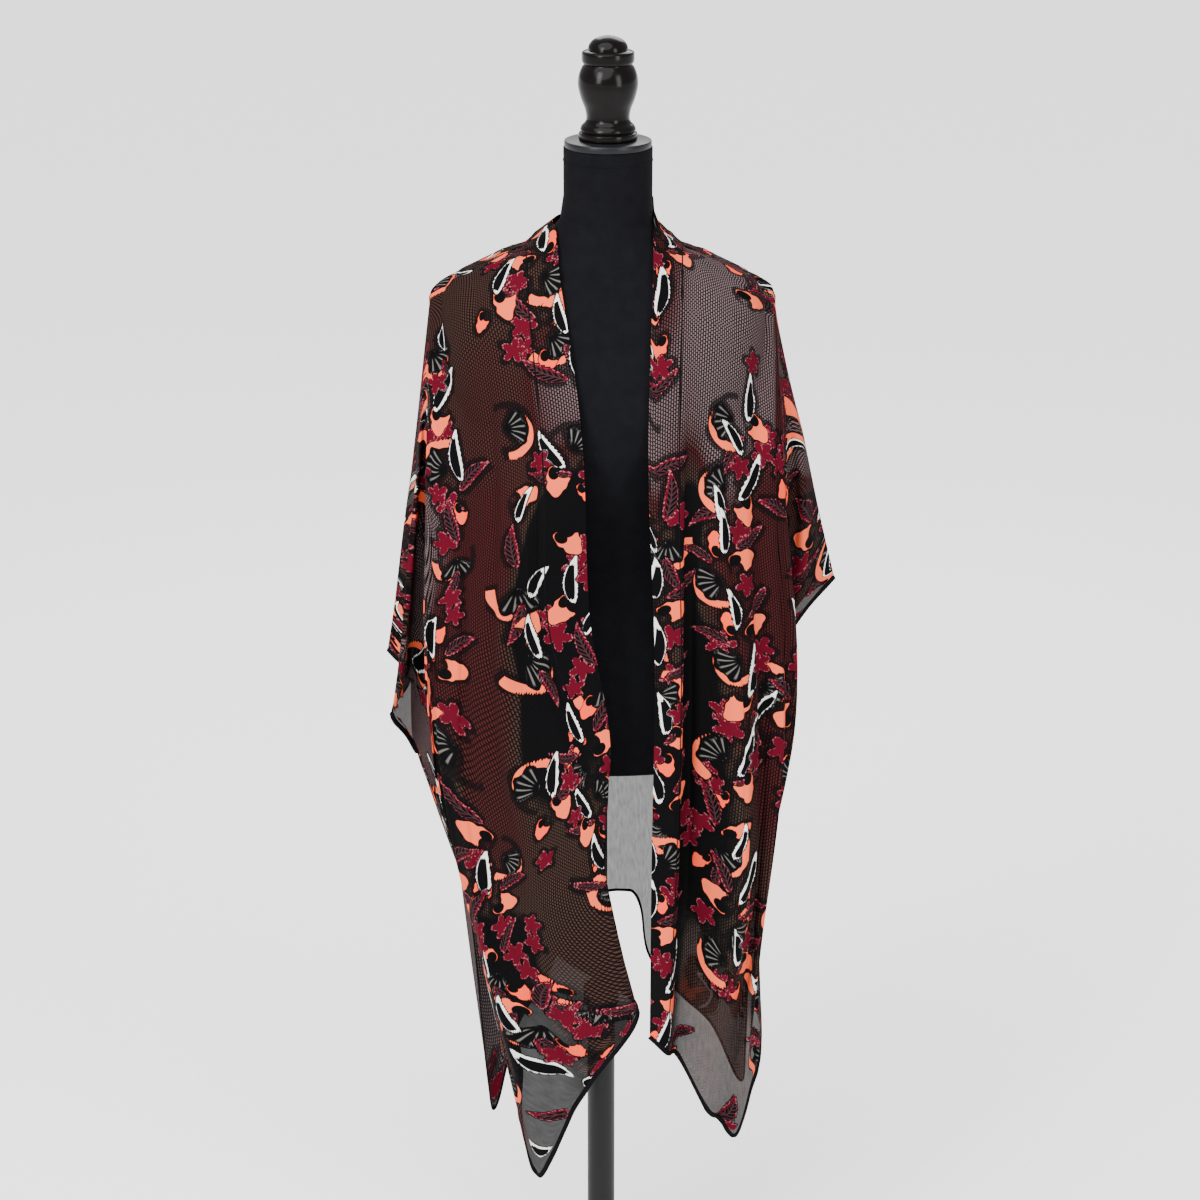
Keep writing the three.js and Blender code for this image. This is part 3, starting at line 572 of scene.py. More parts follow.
# %% The sprays
# Columns: motif, place across and down from the spray's middle, the way it points in degrees, size.
# A later motif lies over an earlier one.
SPRAYS = [
    [
        ("blossom", 20, 26, 10, 17), ("blossom", 32, 10, 50, 16), ("red leaf", 2, 12, 205, 60),
        ("crescent", 12, -14, 335, 31), ("fan", 12, -14, 335, 31), ("petal", -17, 12, 115, 21),
        ("white leaf", -4, 2, 262, 62), ("blossom", -28, -18, 40, 15), ("coral", 8, 38, 80, 15),
    ],
    [
        ("blossom", 28, 22, 0, 17), ("blossom", 14, 40, 40, 18), ("red leaf", -6, 12, 140, 62),
        ("crescent", -16, -10, 190, 30), ("fan", -16, -10, 190, 30), ("petal", 16, 8, 70, 22),
        ("white leaf", 6, -2, 286, 66), ("blossom", -2, -38, 20, 16), ("white leaf", -16, 34, 250, 50),
    ],
    [
        ("blossom", -20, -12, 15, 18), ("blossom", -30, 12, 45, 16), ("red leaf", -2, -14, 245, 62),
        ("petal", 24, -16, 320, 21), ("crescent", 4, 10, 60, 32), ("fan", 4, 10, 60, 32),
        ("coral", -12, 38, 120, 16), ("white leaf", 22, 18, 282, 54), ("red leaf", 14, 26, 95, 52),
    ],
    [
        ("blossom", 30, 4, 30, 17), ("blossom", -24, 34, 10, 18), ("red leaf", -10, -16, 220, 58),
        ("coral", 14, -20, 280, 17), ("petal", -20, 0, 200, 22), ("crescent", 10, 26, 20, 29),
        ("fan", 10, 26, 20, 29), ("white leaf", 8, -8, 272, 62), ("red leaf", 20, 6, 330, 44),
    ],
]  # fmt: skip
# Where a panel's first garland runs and how far apart they are, across the cut in mm.
GARLANDS = {"left_front": (18, 82), "right_front": (8, 108), "back": (-730, 125)}
GARLAND_STEP = 88
GARLAND_SWAY = 16
GARLAND_WAVE = 330
GARLAND_SHIFT = 2.1
FIRST_SPRAY = 0.1
PAST_SIDE = 90
PAST_END = 80
LOOSENESS = 7
MOST_TURN = 22
SIZE_RANGE = (0.92, 1.08)
OUTLINE = 1.3
# The layer that each motif is printed in, and the function of its outline
MOTIFS = {
    "white leaf": ("white", leaf), "red leaf": ("crimson", leaf), "blossom": ("crimson", blossom),
    "petal": ("peach", petal), "coral": ("coral", petal), "crescent": ("peach", crescent),
    "fan": ("fan", fan),
}  # fmt: skip
# Where the ground stays plain. Columns: middle across and down, half sizes, in mm of the cut.
PLAIN = {
    "left_front": [
        (138, 80, 66, 56), (98, 212, 34, 48), (127, 430, 37, 215), (150, 690, 36, 85),
        (214, 450, 26, 80), (300, 530, 60, 90), (440, 660, 80, 90), (24, 259, 16, 36),
        (40, 420, 20, 60), (92, 630, 28, 70), (78, 900, 46, 118), (98, 982, 36, 34),
        (390, 1080, 60, 80), (236, 1125, 34, 70), (262, 1188, 40, 48), (302, 1160, 34, 90),
    ],
    "right_front": [
        (78, 165, 56, 112), (16, 290, 18, 55), (166, 440, 34, 115), (54, 430, 18, 75),
        (70, 650, 18, 65), (130, 1120, 62, 95),
    ],
    "back": [
        (16, 830, 80, 165), (-225, 900, 60, 200), (-390, 600, 70, 60), (330, 600, 40, 90),
    ],
}  # fmt: skip


def is_plain(panel, u, v):
    """Whether a place on a panel's cut is in one of its plain patches."""
    for middle_across, middle_down, half_across, half_down in PLAIN[panel]:
        if ((u - middle_across) / half_across) ** 2 + ((v - middle_down) / half_down) ** 2 < 1:
            return True
    return False


def garlands(panel, across, down, seed):
    """Where the motifs of a panel are: motif, middle, way and size, along swaying garlands."""
    rng = np.random.default_rng(seed)
    motifs = []
    start, spacing = GARLANDS[panel]
    for number, u in enumerate(np.arange(start, across.max() + PAST_SIDE, spacing)):
        first = down.min() - GARLAND_STEP * (FIRST_SPRAY + number % 2 / 2)
        for v in np.arange(first, down.max() + PAST_END, GARLAND_STEP):
            spray = SPRAYS[rng.integers(len(SPRAYS))]
            sway = GARLAND_SWAY * math.sin(v * math.tau / GARLAND_WAVE + GARLAND_SHIFT * number)
            du, dv = rng.uniform(-LOOSENESS, LOOSENESS, 2)
            turn = rng.uniform(-MOST_TURN, MOST_TURN)
            flip = rng.choice((-1, 1))
            cos, sin = math.cos(math.radians(turn)), math.sin(math.radians(turn))
            for motif, x, y, way, size in spray:
                place = (u + sway + du + flip * (x * cos - y * sin), v + dv + x * sin + y * cos)
                way = way + turn if flip > 0 else 180 - way - turn
                if not is_plain(panel, *place):
                    motifs.append((motif, *place, way, size * rng.uniform(*SIZE_RANGE)))
    return motifs


print("motifs in the sprays:", sum(len(spray) for spray in SPRAYS))

# %% The distances that each panel stores
MARGIN = 6


def painted(panel, across, down, seed):
    """The distance inside each kind of motif at every point of a panel, the later ones on top."""
    inks = ("crimson", "peach", "coral", "white", "fan", "core", "dark")
    layers = {name: np.full(across.shape, FAR_OFF) for name in ("outline", *inks)}
    layers["own_x"] = np.zeros(across.shape)
    layers["own_y"] = np.ones(across.shape)
    for motif, u, v, way, size in garlands(panel, across, down, seed):
        reach = size + MARGIN
        near = (np.abs(across - u) < reach) & (np.abs(down - v) < reach)
        if not near.any():
            continue
        angle = math.radians(way)
        du, dv = across[near] - u, down[near] - v
        x = du * math.cos(angle) + dv * math.sin(angle)
        y = dv * math.cos(angle) - du * math.sin(angle)
        layer, outline_of = MOTIFS[motif]
        inside = outline_of(x, y, size)
        for name in inks:
            layers[name][near] = np.minimum(layers[name][near], -inside - OUTLINE)
        layers[layer][near] = np.maximum(layers[layer][near], inside)
        layers["outline"][near] = np.maximum(layers["outline"][near], inside)
        if motif.endswith("leaf"):
            layers["core"][near] = np.maximum(layers["core"][near], leaf_core(x, y, size))
            y = y - leaf_middle(x, size)
        elif motif in ("petal", "coral"):
            layers["dark"][near] = np.maximum(layers["dark"][near], stalk(x, y, size))
        on_top = inside > -OUTLINE
        layers["own_x"][near] = np.where(on_top, x / size, layers["own_x"][near])
        layers["own_y"][near] = np.where(on_top, y / size, layers["own_y"][near])
    return layers


print("layers of the print: outline, crimson, peach, coral, white, fan, core and dark")

# %% [markdown]
# The ground between the sprays changes over the cloth: pinkish grey dashes in some places, maroon
# and brown ones in others, plain black in between, and sheer points at the hem. A few places with
# a tone and a sheerness each, blended by how near they are, give that slow change.

# %% The ground's tones
# Columns, all in hundredths: place across, place down, tone (0 black, 30 brown, 60 maroon, 100 pink
# grey) and sheerness.
GROUND = {
    "left_front": [
        (3, 10, 34, 10), (3, 28, 95, 10), (4, 42, 2, 10), (5, 58, 2, 10), (6, 72, 20, 10),
        (10, 96, 34, 40), (12, 30, 45, 10), (12, 50, 2, 10), (13, 64, 0, 10), (14, 12, 34, 10),
        (18, 78, 30, 20), (20, 90, 34, 40), (24, 20, 50, 10), (26, 38, 62, 10), (28, 55, 60, 10),
        (30, 7, 33, 10), (30, 68, 56, 10), (35, 80, 0, 50), (35, 96, 0, 86), (42, 15, 40, 10),
        (42, 45, 60, 10), (47, 62, 5, 20), (48, 75, 10, 30), (53, 85, 90, 40), (55, 28, 95, 20),
        (62, 45, 95, 20), (70, 60, 95, 50), (78, 90, 90, 90), (80, 30, 60, 30), (90, 60, 35, 60),
        (98, 90, 10, 90),
    ],
    "right_front": [
        (3, 10, 60, 10), (4, 28, 95, 10), (5, 48, 30, 10), (6, 70, 10, 10), (8, 90, 10, 30),
        (14, 12, 100, 10), (13, 24, 90, 10), (14, 36, 0, 10), (19, 56, 0, 10), (19, 72, 0, 10),
        (22, 8, 100, 10), (24, 22, 100, 10), (26, 92, 36, 100), (28, 40, 60, 10), (30, 55, 60, 10),
        (28, 72, 30, 20), (36, 12, 95, 10), (40, 32, 62, 10), (42, 55, 62, 10), (44, 75, 40, 40),
        (42, 95, 36, 100), (60, 30, 60, 20), (62, 65, 50, 30), (75, 55, 45, 40), (80, 25, 90, 30),
        (88, 80, 34, 60), (96, 92, 33, 80),
    ],
    "back": [
        (5, 50, 85, 70), (15, 30, 95, 40), (15, 80, 90, 20), (28, 20, 60, 30), (28, 60, 95, 20),
        (25, 90, 95, 20), (42, 15, 35, 20), (42, 55, 70, 50), (42, 90, 55, 100), (55, 20, 60, 30),
        (55, 60, 90, 60), (58, 92, 45, 100), (72, 25, 95, 30), (72, 65, 60, 50), (72, 95, 30, 100),
        (90, 40, 50, 70), (95, 80, 70, 80), (78, 98, 0, 100),
    ],
}  # fmt: skip
# How far a place reaches, as a share of the panel, and how sheer each panel may be
REACH = 0.065
SHEERNESS = {"left_front": 0.7, "right_front": 0.7, "back": 1.0}


def ground_tones(name, shape):
    """The ground's tone and sheerness at every point of a panel."""
    across, down = np.meshgrid(*(np.linspace(0, 1, count) for count in shape), indexing="ij")
    weight = np.zeros(shape)
    tone = np.zeros(shape)
    sheer = np.zeros(shape)
    for row in GROUND[name]:
        u, v, its_tone, its_sheer = np.array(row) / 100
        near = np.exp(-((across - u) ** 2 + (down - v) ** 2) / REACH**2) + 1e-6
        weight += near
        tone += near * its_tone
        sheer += near * its_sheer * SHEERNESS[name]
    return tone / weight, sheer / weight


print("places that set the ground:", {name: len(rows) for name, rows in GROUND.items()})

# %% [markdown]
# A grid of points becomes a mesh with Blender's own grid operator: it makes the vertices and the
# faces, and the code only moves each vertex to its place. The UV map holds the cut's own
# millimetres, so a pattern that repeats every few millimetres is the same size everywhere.


# %% From a grid of points to a mesh
def placed(name, data):
    """A new object of the scene."""
    made = bpy.data.objects.new(name, data)
    bpy.context.collection.objects.link(made)
    return made


def finished(name, shape, mesh):
    """Smooths a shape's faces, writes it to its mesh and puts that in the scene."""
    for face in shape.faces:
        face.smooth = True
    shape.to_mesh(mesh)
    shape.free()
    print(name, "vertices", len(mesh.vertices))
    return placed(name, mesh)


def sheet_object(name, grid, places=None, layers=None, closed=False):
    """A mesh whose vertices are a grid of points in mm, with its UV map and its stored layers."""
    columns, rows = grid.shape[:2]
    shape = bmesh.new()
    bmesh.ops.create_grid(shape, x_segments=columns - 1, y_segments=rows - 1, size=1)
    mesh = bpy.data.meshes.new(name)
    shape.to_mesh(mesh)
    shape.free()
    flat = np.empty(len(mesh.vertices) * 3)
    mesh.vertices.foreach_get("co", flat)
    start = flat.reshape(-1, 3)
    c = np.rint((start[:, 0] + 1) / 2 * (columns - 1)).astype(int)
    r = np.rint((start[:, 1] + 1) / 2 * (rows - 1)).astype(int)
    mesh.vertices.foreach_set("co", (grid[c, r] * METRES).ravel())
    for layer, values in (layers or {}).items():
        stored = mesh.attributes.new(layer, "FLOAT", "POINT")
        stored.data.foreach_set("value", values[c, r].astype(np.float32))
    if places is not None:
        corners = np.empty(len(mesh.loops), dtype=np.int32)
        mesh.loops.foreach_get("vertex_index", corners)
        uv = np.stack([places[0][c, r][corners], places[1][c, r][corners]], axis=1)
        mesh.uv_layers.new(name="cut").data.foreach_set("uv", uv.ravel())
    shape = bmesh.new()
    shape.from_mesh(mesh)
    if closed:
        bmesh.ops.remove_doubles(shape, verts=shape.verts, dist=MERGE_DISTANCE)
        rims = [edge for edge in shape.edges if edge.is_boundary]
        bmesh.ops.holes_fill(shape, edges=rims, sides=0)
        bmesh.ops.recalc_face_normals(shape, faces=shape.faces)
    elif surface_directions(grid)[1]:
        bmesh.ops.reverse_faces(shape, faces=shape.faces)
    return finished(name, shape, mesh)


STRIP_SIDES = 8


def cord_grid(path, half_width, half_height, flat_way):
    """A thin rounded strip along a path of points in mm, as a closed-round grid of points."""
    along = np.gradient(path, axis=0)
    along /= np.linalg.norm(along, axis=1, keepdims=True) + TINY
    lift = flat_way / (np.linalg.norm(flat_way, axis=1, keepdims=True) + TINY)
    across = np.cross(along, lift)
    angles = np.linspace(0, math.tau, STRIP_SIDES + 1)
    wide, high = across * half_width, lift * half_height
    return np.stack([path + wide * math.cos(angle) + high * math.sin(angle) for angle in angles])


print("cloth is drawn at", METRES, "metres to the millimetre")

# %% [markdown]
# Shader maths reads best as plain arithmetic. The class below lets Python's own signs add Math nodes
# to a material, and one method makes every other node.


# %% Writing materials as arithmetic
class Wire:
    """A value in a material, which Python's arithmetic works on."""

    def __init__(self, finish, socket):
        self.finish = finish
        self.socket = socket

    def maths(self, operation, *values):
        return self.finish.node("ShaderNodeMath", {"operation": operation}, dict(enumerate(values)))

    def __add__(self, other):
        return self.maths("ADD", self, other)

    def __sub__(self, other):
        return self.maths("SUBTRACT", self, other)

    def __rsub__(self, other):
        return self.maths("SUBTRACT", other, self)

    def __mul__(self, other):
        return self.maths("MULTIPLY", self, other)

    def edge(self, softness):
        """0 below nothing and 1 above it, with an edge as soft as it is told."""
        settings = {"operation": "MULTIPLY_ADD", "use_clamp": True}
        values = {0: self, 1: 1 / softness, 2: 0.5}
        return self.finish.node("ShaderNodeMath", settings, values)

    __radd__ = __add__
    __rmul__ = __mul__


class Finish:
    """One material and its nodes."""

    def __init__(self, name):
        self.material = bpy.data.materials.new(name)
        self.material.use_nodes = True
        self.nodes = self.material.node_tree.nodes
        self.links = self.material.node_tree.links
        self.shader = self.nodes["Principled BSDF"]

    def fill(self, inputs, values):
        for key, value in values.items():
            if isinstance(value, Wire):
                self.links.new(value.socket, inputs[key])
            else:
                inputs[key].default_value = value

    def node(self, kind, settings=None, values=None, output=0):
        made = self.nodes.new(kind)
        for key, value in (settings or {}).items():
            if key == "stops":
                ramp = made.color_ramp.elements
                while len(ramp) < len(value):
                    ramp.new(0.5)
                for element, (place, colour) in zip(ramp, value):
                    element.position = place
                    element.color = colour
            else:
                setattr(made, key, value)
        self.fill(made.inputs, values or {})
        return Wire(self, made.outputs[output])

    def stored(self, name):
        return self.node("ShaderNodeAttribute", {"attribute_name": name}, output="Fac")

    def mixed(self, factor, below, above):
        values = {"Factor": factor, "A": below, "B": above}
        made = self.nodes.new("ShaderNodeMix")
        made.data_type = "RGBA"
        self.fill({"Factor": made.inputs[0], "A": made.inputs[6], "B": made.inputs[7]}, values)
        return Wire(self, made.outputs[2])

    def noise(self, scale, detail=2.0):
        place = self.node("ShaderNodeTexCoord", output="Object")
        values = {"Vector": place, "Scale": scale, "Detail": detail}
        return self.node("ShaderNodeTexNoise", None, values)

    def bump(self, height, strength, distance):
        values = {"Height": height, "Strength": strength, "Distance": distance}
        return self.node("ShaderNodeBump", None, values)

    def shade(self, **values):
        named = {key.replace("_", " "): value for key, value in values.items()}
        self.fill(self.shader.inputs, named)
        return self.material


print("a Finish is one material, and a Wire is one value in it")

# %% [markdown]
# The printed cloth. The ground is rows of fine dashes whose colour follows the stored tone. Each
# motif lies on it inside a black outline with a soft shadow, and the fans' rays and the leaves'
# veins come last. Where the ground is sheer, light comes through between its threads, so its alpha
# falls below one there, and narrow streaks down the cloth vary it as painted fold shading. The
# motifs themselves stay dense.

# %% The printed cloth
DASH_ACROSS = 2.9
DASH_DOWN = 4.6
PRINT_COLOURS = {
    "crimson": (0.062, 0.0018, 0.0075, 1),
    "pink": (0.26, 0.085, 0.095, 1),
    "peach": (0.60, 0.088, 0.037, 1),
    "coral": (0.64, 0.055, 0.022, 1),
    "white": (0.60, 0.59, 0.57, 1),
    "ink": (0.0015, 0.0015, 0.0018, 1),
    "ray": (0.085, 0.08, 0.075, 1),
    "vein": (0.035, 0.012, 0.015, 1),
}
TONE_STOPS = [
    (0.0, (0.0015, 0.0015, 0.0018, 1)),
    (0.17, (0.0030, 0.0025, 0.0025, 1)),
    (0.25, (0.036, 0.021, 0.015, 1)),
    (0.62, (0.045, 0.0070, 0.0072, 1)),
    (1.0, (0.112, 0.078, 0.080, 1)),
]
FAN_RAYS = 17
VEINS_ALONG = 58
VEINS_ACROSS = 80
PRINT_EDGE = 0.6
CRIMSON_RIM = 1.6
SHADOW = 2.5
# The stretch, across and down the cut, of the streaks of painted fold shading in the alpha
STREAKS_ACROSS = 0.25
STREAKS_DOWN = 0.06
CLOTH_ROUGHNESS = 0.8
CLOTH_SHINE = 0.03


def printed_cloth(name, thinnest):
    """Printed sheer cloth: alpha goes from one down to about thinnest where it is sheerest."""
    cloth = Finish(name)

    def printed_in(layer):
        return cloth.stored(layer).edge(PRINT_EDGE)

    place = cloth.node("ShaderNodeUVMap", {"uv_map": "cut"})
    across = cloth.node("ShaderNodeSeparateXYZ", None, {"Vector": place})
    down = Wire(cloth, across.socket.node.outputs["Y"])
    column = across.maths("FLOOR", across * (1 / DASH_ACROSS))
    stripe = across.maths("SINE", across * (math.tau / DASH_ACROSS))
    broken = down.maths("SINE", down * (math.tau / DASH_DOWN) + column * math.pi)
    dash = (stripe + 0.2).edge(0.9) * (broken + 0.5).edge(0.6)
    ground = cloth.node("ShaderNodeValToRGB", {"stops": TONE_STOPS}, {"Fac": cloth.stored("tone")})
    ink = PRINT_COLOURS["ink"]
    grain = cloth.noise(420, 3.0)
    colour = cloth.mixed(dash, ink, ground)
    outline = cloth.stored("outline")
    shadow = (outline + SHADOW + 8 * grain).edge(2.5)
    printed = (outline + OUTLINE).edge(0.7)
    colour = cloth.mixed(shadow * 0.8, colour, ink)
    colour = cloth.mixed(printed, colour, ink)
    for layer in ("crimson", "peach", "coral", "white"):
        colour = cloth.mixed(printed_in(layer), colour, PRINT_COLOURS[layer])
    colour = cloth.mixed(printed_in("dark"), colour, ink)
    rim = printed_in("crimson") * (CRIMSON_RIM - cloth.stored("crimson")).edge(PRINT_EDGE)
    colour = cloth.mixed(rim * (grain - 0.55).edge(0.08) * 0.8, colour, PRINT_COLOURS["pink"])
    own_x, own_y = cloth.stored("own_x"), cloth.stored("own_y")
    angle = own_x.maths("ARCTAN2", own_y, own_x)
    wave = angle.maths("COSINE", angle * FAN_RAYS)
    far = own_x.maths("SQRT", own_x * own_x + own_y * own_y)
    rays = (wave - 0.7).edge(0.5) * (far - 0.34).edge(0.12) * (0.86 - far).edge(0.10)
    fan = cloth.mixed(rays, ink, PRINT_COLOURS["ray"])
    colour = cloth.mixed(printed_in("fan"), colour, fan)
    off_middle = own_y.maths("ABSOLUTE", own_y)
    slant = own_x * VEINS_ALONG - off_middle * VEINS_ACROSS
    ribs = (slant.maths("SINE", slant) - 0.5).edge(0.5)
    veins = ribs.maths("MAXIMUM", ribs, (0.012 - off_middle).edge(0.012))
    veins = veins * (1 - printed_in("white"))
    core = cloth.mixed(veins, ink, PRINT_COLOURS["vein"])
    colour = cloth.mixed(printed_in("core"), colour, core)
    sheer = cloth.stored("sheer")
    # Narrow streaks down the cloth vary its alpha: painted fold shading laid over the real sheerness
    streaked = {"X": across * STREAKS_ACROSS, "Y": down * STREAKS_DOWN}
    values = {"Vector": cloth.node("ShaderNodeCombineXYZ", None, streaked), "Scale": 1.0}
    fold_shade_streak = cloth.node("ShaderNodeTexNoise", None, values) * 0.9 + 0.55
    alpha = 1 - sheer * sheer * fold_shade_streak * (1 - thinnest) * (1 - printed)
    cloth.shade(Base_Color=colour, Alpha=alpha, Normal=cloth.bump(grain, 0.2, 0.0005))
    return cloth.shade(Roughness=CLOTH_ROUGHNESS, Specular_IOR_Level=CLOTH_SHINE)


# %% The other cloths
def hem_cloth():
    """The black rolled hem."""
    hem = Finish("rolled_hem")
    ribs = hem.noise(700)
    hem.shade(Base_Color=(0.003, 0.0025, 0.003, 1), Normal=hem.bump(ribs, 0.4, 0.0005))
    return hem.shade(Roughness=CLOTH_ROUGHNESS, Specular_IOR_Level=CLOTH_SHINE)


def jersey():
    """Fine black knit, its colour a little lighter in patches: a painted sheen of its nap."""
    knit = Finish("black_jersey")
    place = knit.node("ShaderNodeTexCoord", output="Object")
    settings = {"wave_type": "BANDS", "bands_direction": "X"}
    values = {"Vector": place, "Scale": 240.0, "Distortion": 0.6}
    ribs = knit.node("ShaderNodeTexWave", settings, values)
    nap_and_sheen = knit.noise(60, 4.0)
    # The lighter patches in the colour are a painted sheen, where the nap would catch the light; the
    # same noise bumps the knit
    colour = knit.mixed(nap_and_sheen, (0.0016, 0.0016, 0.0022, 1), (0.0042, 0.0042, 0.0055, 1))
    height = Wire(knit, ribs.socket.node.outputs["Fac"]) * 0.6 + nap_and_sheen * 0.4
    knit.shade(Base_Color=colour, Roughness=0.9, Normal=knit.bump(height, 0.25, 0.0006))
    return knit.shade(Specular_IOR_Level=0.06)


PRINTED = printed_cloth("printed_cloth", 0.86)
BAND_PRINT = printed_cloth("printed_band", 0.97)
HEM = hem_cloth()
JERSEY = jersey()
print("nodes in the printed cloth:", len(PRINTED.node_tree.nodes))

# %% [markdown]
# Now the garment itself. The band down each front is the first fold's width of the panel's grid: it
# is the same cloth doubled over, so it is cut from the same grid, takes the same print and is
# denser. The panel keeps the rest.

# %% The panels and the bands
SEEDS = {"left_front": 11, "right_front": 23, "back": 37}


def dressed(obj, material, node):
    """Gives a piece its material, hangs it under the root and hides the solid of the frame it stands
    for.
    """
    obj.data.materials.append(material)
    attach(obj, "root")
    if node:
        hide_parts(node)
    return obj


garment = {}
for panel, (_, side, per_fold, _) in PANELS.items():
    grid = grids[panel]
    columns = len(grid)
    across, down = cut_places(grid, 0 if side else columns // 2)
    layers = painted(panel, across, down, SEEDS[panel])
    layers["tone"], layers["sheer"] = ground_tones(panel, grid.shape[:2])
    seam = per_fold if side else 0
    pieces = [(panel, slice(seam, columns), PRINTED, "printed_cloth")]
    if side:
        pieces.append((panel + "_band", slice(0, seam + 1), BAND_PRINT, "printed_band"))
    for piece, kept, material, slot in pieces:
        its_layers = {name: values[kept] for name, values in layers.items()}
        cloth = sheet_object(piece, grid[kept], (across[kept], down[kept]), its_layers)
        garment[piece] = dressed(cloth, material, piece)

# %% The band round the back of the neck
NECK_COLUMNS = (len(TURN) - 1) * BACK_PER_FOLD + 1
NECK_ROWS = 24
NECK_START = fold_columns(BACK, len(grids["back"]))["left neck"]
NECK_SEED = 5
NECK_TONE = 0.35
NECK_SHEER = 0.1


def neck_band_grid():
    """The band from the back's neck seam up to the edge that stands against the neck."""
    seam = grids["back"][NECK_START : NECK_START + NECK_COLUMNS, 0]
    edge = np.array([oval_point(NECK_EDGE, angle) for angle in np.linspace(0, 180, NECK_COLUMNS)])
    shares = np.linspace(0, 1, NECK_ROWS)[None, :, None]
    band = edge[:, None] * (1 - shares) + seam[:, None] * shares
    inner = band[1:-1, :-1].reshape(-1, 3).copy()
    band[1:-1, :-1] = clear_of_form(inner, inner[:, 2].copy()).reshape(band[1:-1, :-1].shape)
    return band


neck_grid = neck_band_grid()
across, down = cut_places(neck_grid, 0)
layers = painted("back", across, down, NECK_SEED)
layers["tone"] = np.full(across.shape, NECK_TONE)
layers["sheer"] = np.full(across.shape, NECK_SHEER)
neck = sheet_object("neck_band", neck_grid, (across, down), layers)
garment["neck_band"] = dressed(neck, BAND_PRINT, "neck_band")

# %% [markdown]
# Every free edge of the wrap is rolled into a narrow black hem: the hem itself, the slits at the
# sides and the cuffs. A rolled hem is a thin rounded strip that follows the edge, and it is what
# draws the dark line that ends the cloth. The band seams show as a fine ridge.

# %% The rolled hems and the band seams
HEM_HALF_WIDTHS = {"left_front": 3.2, "right_front": 3.2, "back": 2.0}
HEM_HALF_HEIGHT = 1.1
SEAM_HALF_WIDTH = 0.8
SEAM_HALF_HEIGHT = 0.5


def edge_strip(name, path, away, half_width, half_height):
    """A thin strip along a path of the cloth."""
    made = sheet_object(name, cord_grid(path, half_width, half_height, away), closed=True)
    return dressed(made, HEM, None)


trims = {panel: [] for panel in garment}
for panel, (table, side, _, _) in PANELS.items():
    grid = grids[panel]
    columns = len(grid)
    square = surface_directions(grid)[0]
    starts = fold_columns(table, columns)
    if side:
        runs = {"hem": (0, starts["slit top"]), "cuff": (starts["underarm"], columns - 1)}
        path = grid[starts["band seam"]]
        away = square[starts["band seam"]]
        seam = edge_strip(panel + "_band_seam", path, away, SEAM_HALF_WIDTH, SEAM_HALF_HEIGHT)
        trims[panel].append(seam)
    else:
        runs = {
            "left_cuff": (0, starts["left underarm"]),
            "hem": (starts["left slit top"], starts["right slit top"]),
            "right_cuff": (starts["right underarm"], columns - 1),
        }
    for run, (first, last) in runs.items():
        path = grid[first : last + 1, -1]
        away = square[first : last + 1, -1]
        strip = edge_strip(f"{panel}_{run}", path, away, HEM_HALF_WIDTHS[panel], HEM_HALF_HEIGHT)
        trims[panel].append(strip)
print("hems and seams:", sum(len(pieces) for pieces in trims.values()))

# %% [markdown]
# The dress form: a padded body under tight black jersey. It is drawn from the same ovals that the
# cloth was cleared of, as closed rings of points, so the two can't drift apart. The jersey's neck
# hem is a fine ridge below the cap.

# %% The form's body
RING_POINTS = 112
BODY_ROWS = 150
BOTTOM_ROUND = 4
NECK_HEM_Z = 1541
NECK_HEM_SIZE = (1.1, 0.6)


def body_grid():
    """The form as rings of points, each ring closed, with a rounded lower edge."""
    heights = np.linspace(NECK_TOP, FORM_BOTTOM, BODY_ROWS)
    middle, half, front, back, square = section_at(heights)
    drawn_in = BOTTOM_ROUND * np.clip(1 - (heights - FORM_BOTTOM) / BOTTOM_ROUND, 0, 1) ** 2
    angles = np.linspace(0, math.tau, RING_POINTS + 1)[:, None]
    cos, sin = np.cos(angles), np.sin(angles)
    across = np.sign(cos) * np.abs(cos) ** (2 / square)
    along = np.sign(sin) * np.abs(sin) ** (2 / square)
    x = middle + (half - drawn_in) * across
    y = (np.where(along < 0, front, back) - drawn_in) * along
    return np.stack([x, y, np.broadcast_to(heights, x.shape)], axis=2)


dressed(sheet_object("form_torso", body_grid(), closed=True), JERSEY, "form_torso")

angles = np.linspace(0, math.tau, RING_POINTS + 1)
_, half, front, back, _ = section_at(np.array([NECK_HEM_Z]))
ring = np.stack([
    NECK_X + half * np.cos(angles),
    np.where(np.sin(angles) < 0, front, back) * np.sin(angles),
    np.full(len(angles), NECK_HEM_Z),
], axis=1)  # fmt: skip
outwards = ring - np.array([NECK_X, 0, NECK_HEM_Z])
neck_hem = sheet_object("neck_hem", cord_grid(ring, *NECK_HEM_SIZE, outwards), closed=True)
dressed(neck_hem, JERSEY, None)

# %% [markdown]
# Turned pieces are what spin is for: a profile of radii and heights, swept once round the pole. The
# finial is a stack of curves, each one smooth, with a crisp step where the turner's tool changed.

# %% Turned pieces
TURN_STEPS = 96
CURVE_STEPS = 6
SHARP_ANGLE = 32


